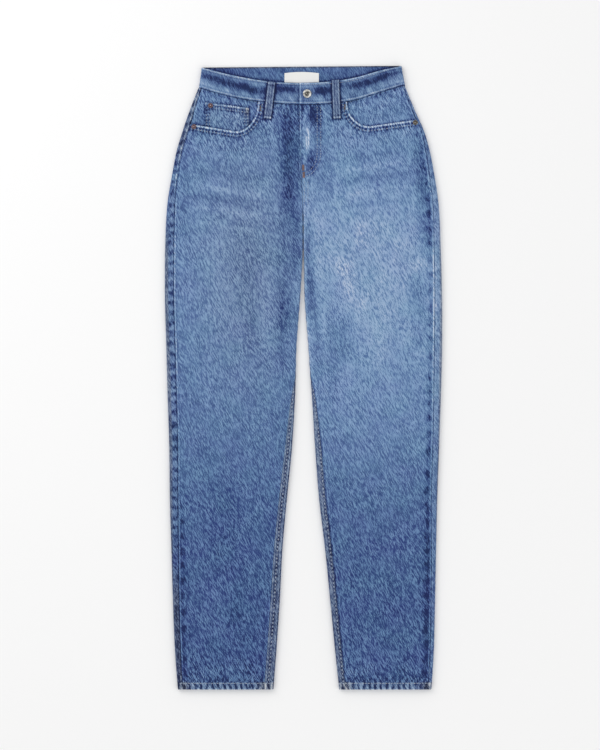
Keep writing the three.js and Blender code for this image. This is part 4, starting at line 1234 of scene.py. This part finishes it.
denim = washed_denim("stonewashed_indigo_twill", 1.0, 0.10)
band_denim = washed_denim("stonewashed_waistband_twill", 0.8, 0.14)
pale_thread = spun_thread("faded_core_spun_thread", "b9c3d1", "8392ab")
chain_thread = spun_thread("faded_chain_stitch_thread", "a3afc3", "71809c")
copper_thread = spun_thread("copper_bar_tack_thread", "9c7c74", "6c5a5c")
brown_thread = spun_thread("brown_bar_tack_thread", "807a80", "4c474f")
nickel = plated_metal("tumbled_nickel_plate", "f0efea", "a09e98", "3b3a3a", 0.30)
copper = plated_metal("dulled_copper_plate", "b59a99", "75636b", "2f2a31", 0.5)
worn_brass = plated_metal("worn_brass_plate", "a39d92", "6f6a64", "35322f", 0.5)

legs = (RIGHT_LEG, LEFT_LEG)
fronts = [front(leg, denim) for leg in legs]
facings = [facing(leg, denim) for leg in legs]
backs = [back(leg, denim) for leg in legs]
yokes = [yoke(leg, denim) for leg in legs]
back_pockets = [back_pocket(leg, denim) for leg in legs]
coin = coin_pocket(denim)
band = waistband(band_denim)
loops = [belt_loop(name, band_denim) for name in LOOPS]

# Label: a bare woven tape with an arched top
label_x = np.linspace(LABEL.left, LABEL.right, 48)
label_low = waist_top(label_x) + 2 * SEAM_GAP
label_high = LABEL.top + LABEL.arch * np.sin(np.pi * (label_x - LABEL.left) / (LABEL.right - LABEL.left))
label_y = mix(label_low, label_high, np.linspace(0, 1, 16)[:, None])
label_bottom = BAND_WALL + SEAM_GAP
label_outer = np.stack([label_x + 0 * label_y, label_y, label_bottom + LABEL.wall + 0 * label_y], -1)
tape = woven_tape("bare_damask_label_tape")
label = panel("label", label_outer, label_outer - [0, 0, LABEL.wall], tape, kind="tape")

turned("waist_button", [
    (0, -BAND_DIP), (BUTTON.shank, -BAND_DIP), (BUTTON.shank, 0), (6.2, 0), (6.9, 0.25), (BUTTON.radius, 0.8),
    (BUTTON.radius, 1.5), (6.95, 2.1), (6.4, 2.5), (5.8, 2.7), (5.2, 2.6), (4.6, 2.3), (4.1, 1.8), (3.9, 1.4),
    (3.2, 1.3), (2.4, 1.45), (1.4, 1.75), (0.7, 1.9), (0, 2.0),
], 64, (BUTTON.x, BUTTON.y, BAND_HEIGHT + SEAM_GAP), nickel, [
    (0, 0.9), (1.6, 0.8), (3.4, 0.9), (4.2, 0.1), (6.9, 0.0), (7.3, 0.4),
])

RIVETS = [
    ("rivet_coin", copper, -156.5, 457.5, float(coin_height(np.array([156.5]), np.array([457.5]))[0])),
    ("rivet_pocket_right", copper, -184.5, 422, LAY_HEIGHT),
    ("rivet_pocket_left", worn_brass, 188, 429, LAY_HEIGHT),
]
for name, plate, x, y, surface in RIVETS:
    turned(name, [
        (0, 0), (4.2, 0), (4.2, 0.35), (4.0, 0.65), (3.5, 0.95), (2.8, 1.15), (2.2, 1.2), (1.8, 1.25),
        (1.55, 1.5), (1.2, 1.75), (0.6, 1.88), (0, 1.9),
    ], 36, (x, y, surface + SEAM_GAP), plate, [
        (0, 0.0), (1.2, 0.1), (1.8, 1.2), (2.4, 0.9), (3.0, 0.1), (3.6, 0.3), (4.2, 1.2),
    ])

# Sewing
MOUTH_ROW_INSET = 7.6
mouth_rows = []
for leg in legs:
    out, y = mouth_path(leg, MOUTH_ROW_INSET)
    mouth_rows.append(on_front_skin(leg.side * out, y - 0.4))
sewing("mouth_stitching", mouth_rows, chain_thread, "denim", length=2.7, gap=2.5, width=1.7)

coin_rows = []
for inset in (3.0, 8.0):
    out = np.linspace(COIN.inner + 3, COIN.outer - 14, 40)
    coin_rows.append(on_coin(out, coin_top(out) - inset))
    for side_out in (COIN.outer - inset + 1, COIN.inner + inset - 1):
        y = np.linspace(MOUTH_FOOT + 44, COIN.inner_top - 10, 20)
        coin_rows.append(on_coin(np.full(20, side_out), y))
sewing("coin_stitching", coin_rows, chain_thread, "denim", length=2.6, gap=2.4, width=1.3)

inseam_rows = [inseam_path(RIGHT_LEG, 0.4), inseam_path(LEFT_LEG, 0.22)]
sewing("inseam_stitching", inseam_rows, chain_thread, "denim", length=3.3, gap=3.1, width=2.3)

hem_rows = []
for leg in legs:
    s = section_at(leg, np.full(80, HEM_TOP - 1.5))
    hem_rows.append(ring_point(s, -np.linspace(1.5 * s.fold[0], s.half[0] - 3, 80)).point)
sewing("hem_stitching", hem_rows, pale_thread, "denim")

band_halves = (np.linspace(BAND_END_X + 3, 163, 120), np.linspace(-12, -168, 120))
band_rows = [on_band(x, depth) for depth in (2.6, 33.4) for x in band_halves]
sewing("waistband_stitching", band_rows, pale_thread, "waistband_denim", length=2.8, gap=0.9, width=0.8)

turn = np.linspace(0, np.pi / 2, 40)
fly_rows = []
for inset in (0, FLY_TURN.between):
    reach_x, foot_y = FLY_TURN.out - inset, FLY_TURN.foot + inset
    curve_x = -FLY_TURN.back + (reach_x + FLY_TURN.back) * np.cos(turn)
    curve_y = FLY_TURN.level - (FLY_TURN.level - foot_y) * np.sin(turn)
    x = np.concatenate([np.full(60, reach_x), curve_x[1:]])
    y = np.concatenate([np.linspace(458, FLY_TURN.level, 60), curve_y[1:]])
    fly_rows.append(on_front_skin(x, y))
for x in (1.5, 7.5):
    fly_rows.append(on_front_skin(np.full(20, x), np.linspace(330, 290, 20)))
sewing("fly_stitching", fly_rows, pale_thread, "denim", length=2.8, gap=1.8, width=0.9)
bar_tacks("pocket_tacks", [(-72.5, 453), (69.5, 455)], brown_thread, 3.2)
bar_tacks("fly_tacks", [(-0.5, 353), (0.5, 341)], copper_thread, 4.4)


def cloth_area(piece):
    """The area of one side of a closed cloth shell, in square metres: half of its whole surface."""
    areas = np.zeros(len(piece.data.polygons))
    piece.data.polygons.foreach_get("area", areas)
    return float(areas.sum() / 2)


# Each panel's flat size in metres, without seam allowances: width and length
CUTS = [
    (fronts, (0.27, 1.02)), (backs, (0.30, 1.00)), (facings, (0.14, 0.09)), (yokes, (0.19, 0.08)),
    (back_pockets, (0.14, 0.145)), ([coin], (0.074, 0.07)), ([band], (0.74, 0.04)),
    (loops[:1], (0.015, 0.066)), (loops[1:], (0.015, 0.068)), ([label], (0.06, 0.019)),
]
for pieces, (width, length) in CUTS:
    for piece in pieces:
        area = min(cloth_area(piece), width * length)

# Studio: a pale floor under a white surround, a wide soft light at the upper left and a weaker one opposite
bpy.ops.mesh.primitive_plane_add(size=8, location=(0, 0, -0.0004))
floor = bpy.context.object
floor.name = "floor"
floor_paint, tree, shader, _ = new_material("matt_white_paper")
set_inputs(tree, shader, {"Base Color": srgb("fbfbfb"), "Roughness": 0.95})
floor.data.materials.append(floor_paint)

world = bpy.data.worlds.new("studio")
bpy.context.scene.world = world
world.use_nodes = True
background = world.node_tree.nodes["Background"]
set_inputs(world.node_tree, background, {"Color": (1.0, 1.0, 1.0, 1.0), "Strength": 0.80})


def soft_light(name, power, place):
    """A square light, 1.6 m wide, that looks at the middle of the floor."""
    lamp = bpy.data.lights.new(name, "AREA")
    lamp.energy = power
    lamp.size = 1.6
    made = bpy.data.objects.new(name, lamp)
    bpy.context.scene.collection.objects.link(made)
    made.location = place
    x, y, z = place
    made.rotation_euler = (math.atan2(math.hypot(x, y), z), 0, math.atan2(-y, -x) - math.pi / 2)


soft_light("key", 22, (-1.9, 1.5, 1.7))
soft_light("fill", 6, (1.8, -1.4, 1.8))

# The camera looks straight down from its height in metres on a field that is so many metres high
CAMERA_HEIGHT = 4.0
FIELD_HEIGHT = 1.264
camera_data = bpy.data.cameras.new("camera")
camera = bpy.data.objects.new("camera", camera_data)
bpy.context.scene.collection.objects.link(camera)
camera.location = (-0.0059, 0.0042, CAMERA_HEIGHT)
camera_data.sensor_width = 36
camera_data.lens = camera_data.sensor_width * CAMERA_HEIGHT / FIELD_HEIGHT
camera_data.clip_end = 20
bpy.context.scene.camera = camera
bpy.context.scene.view_settings.view_transform = "Standard"
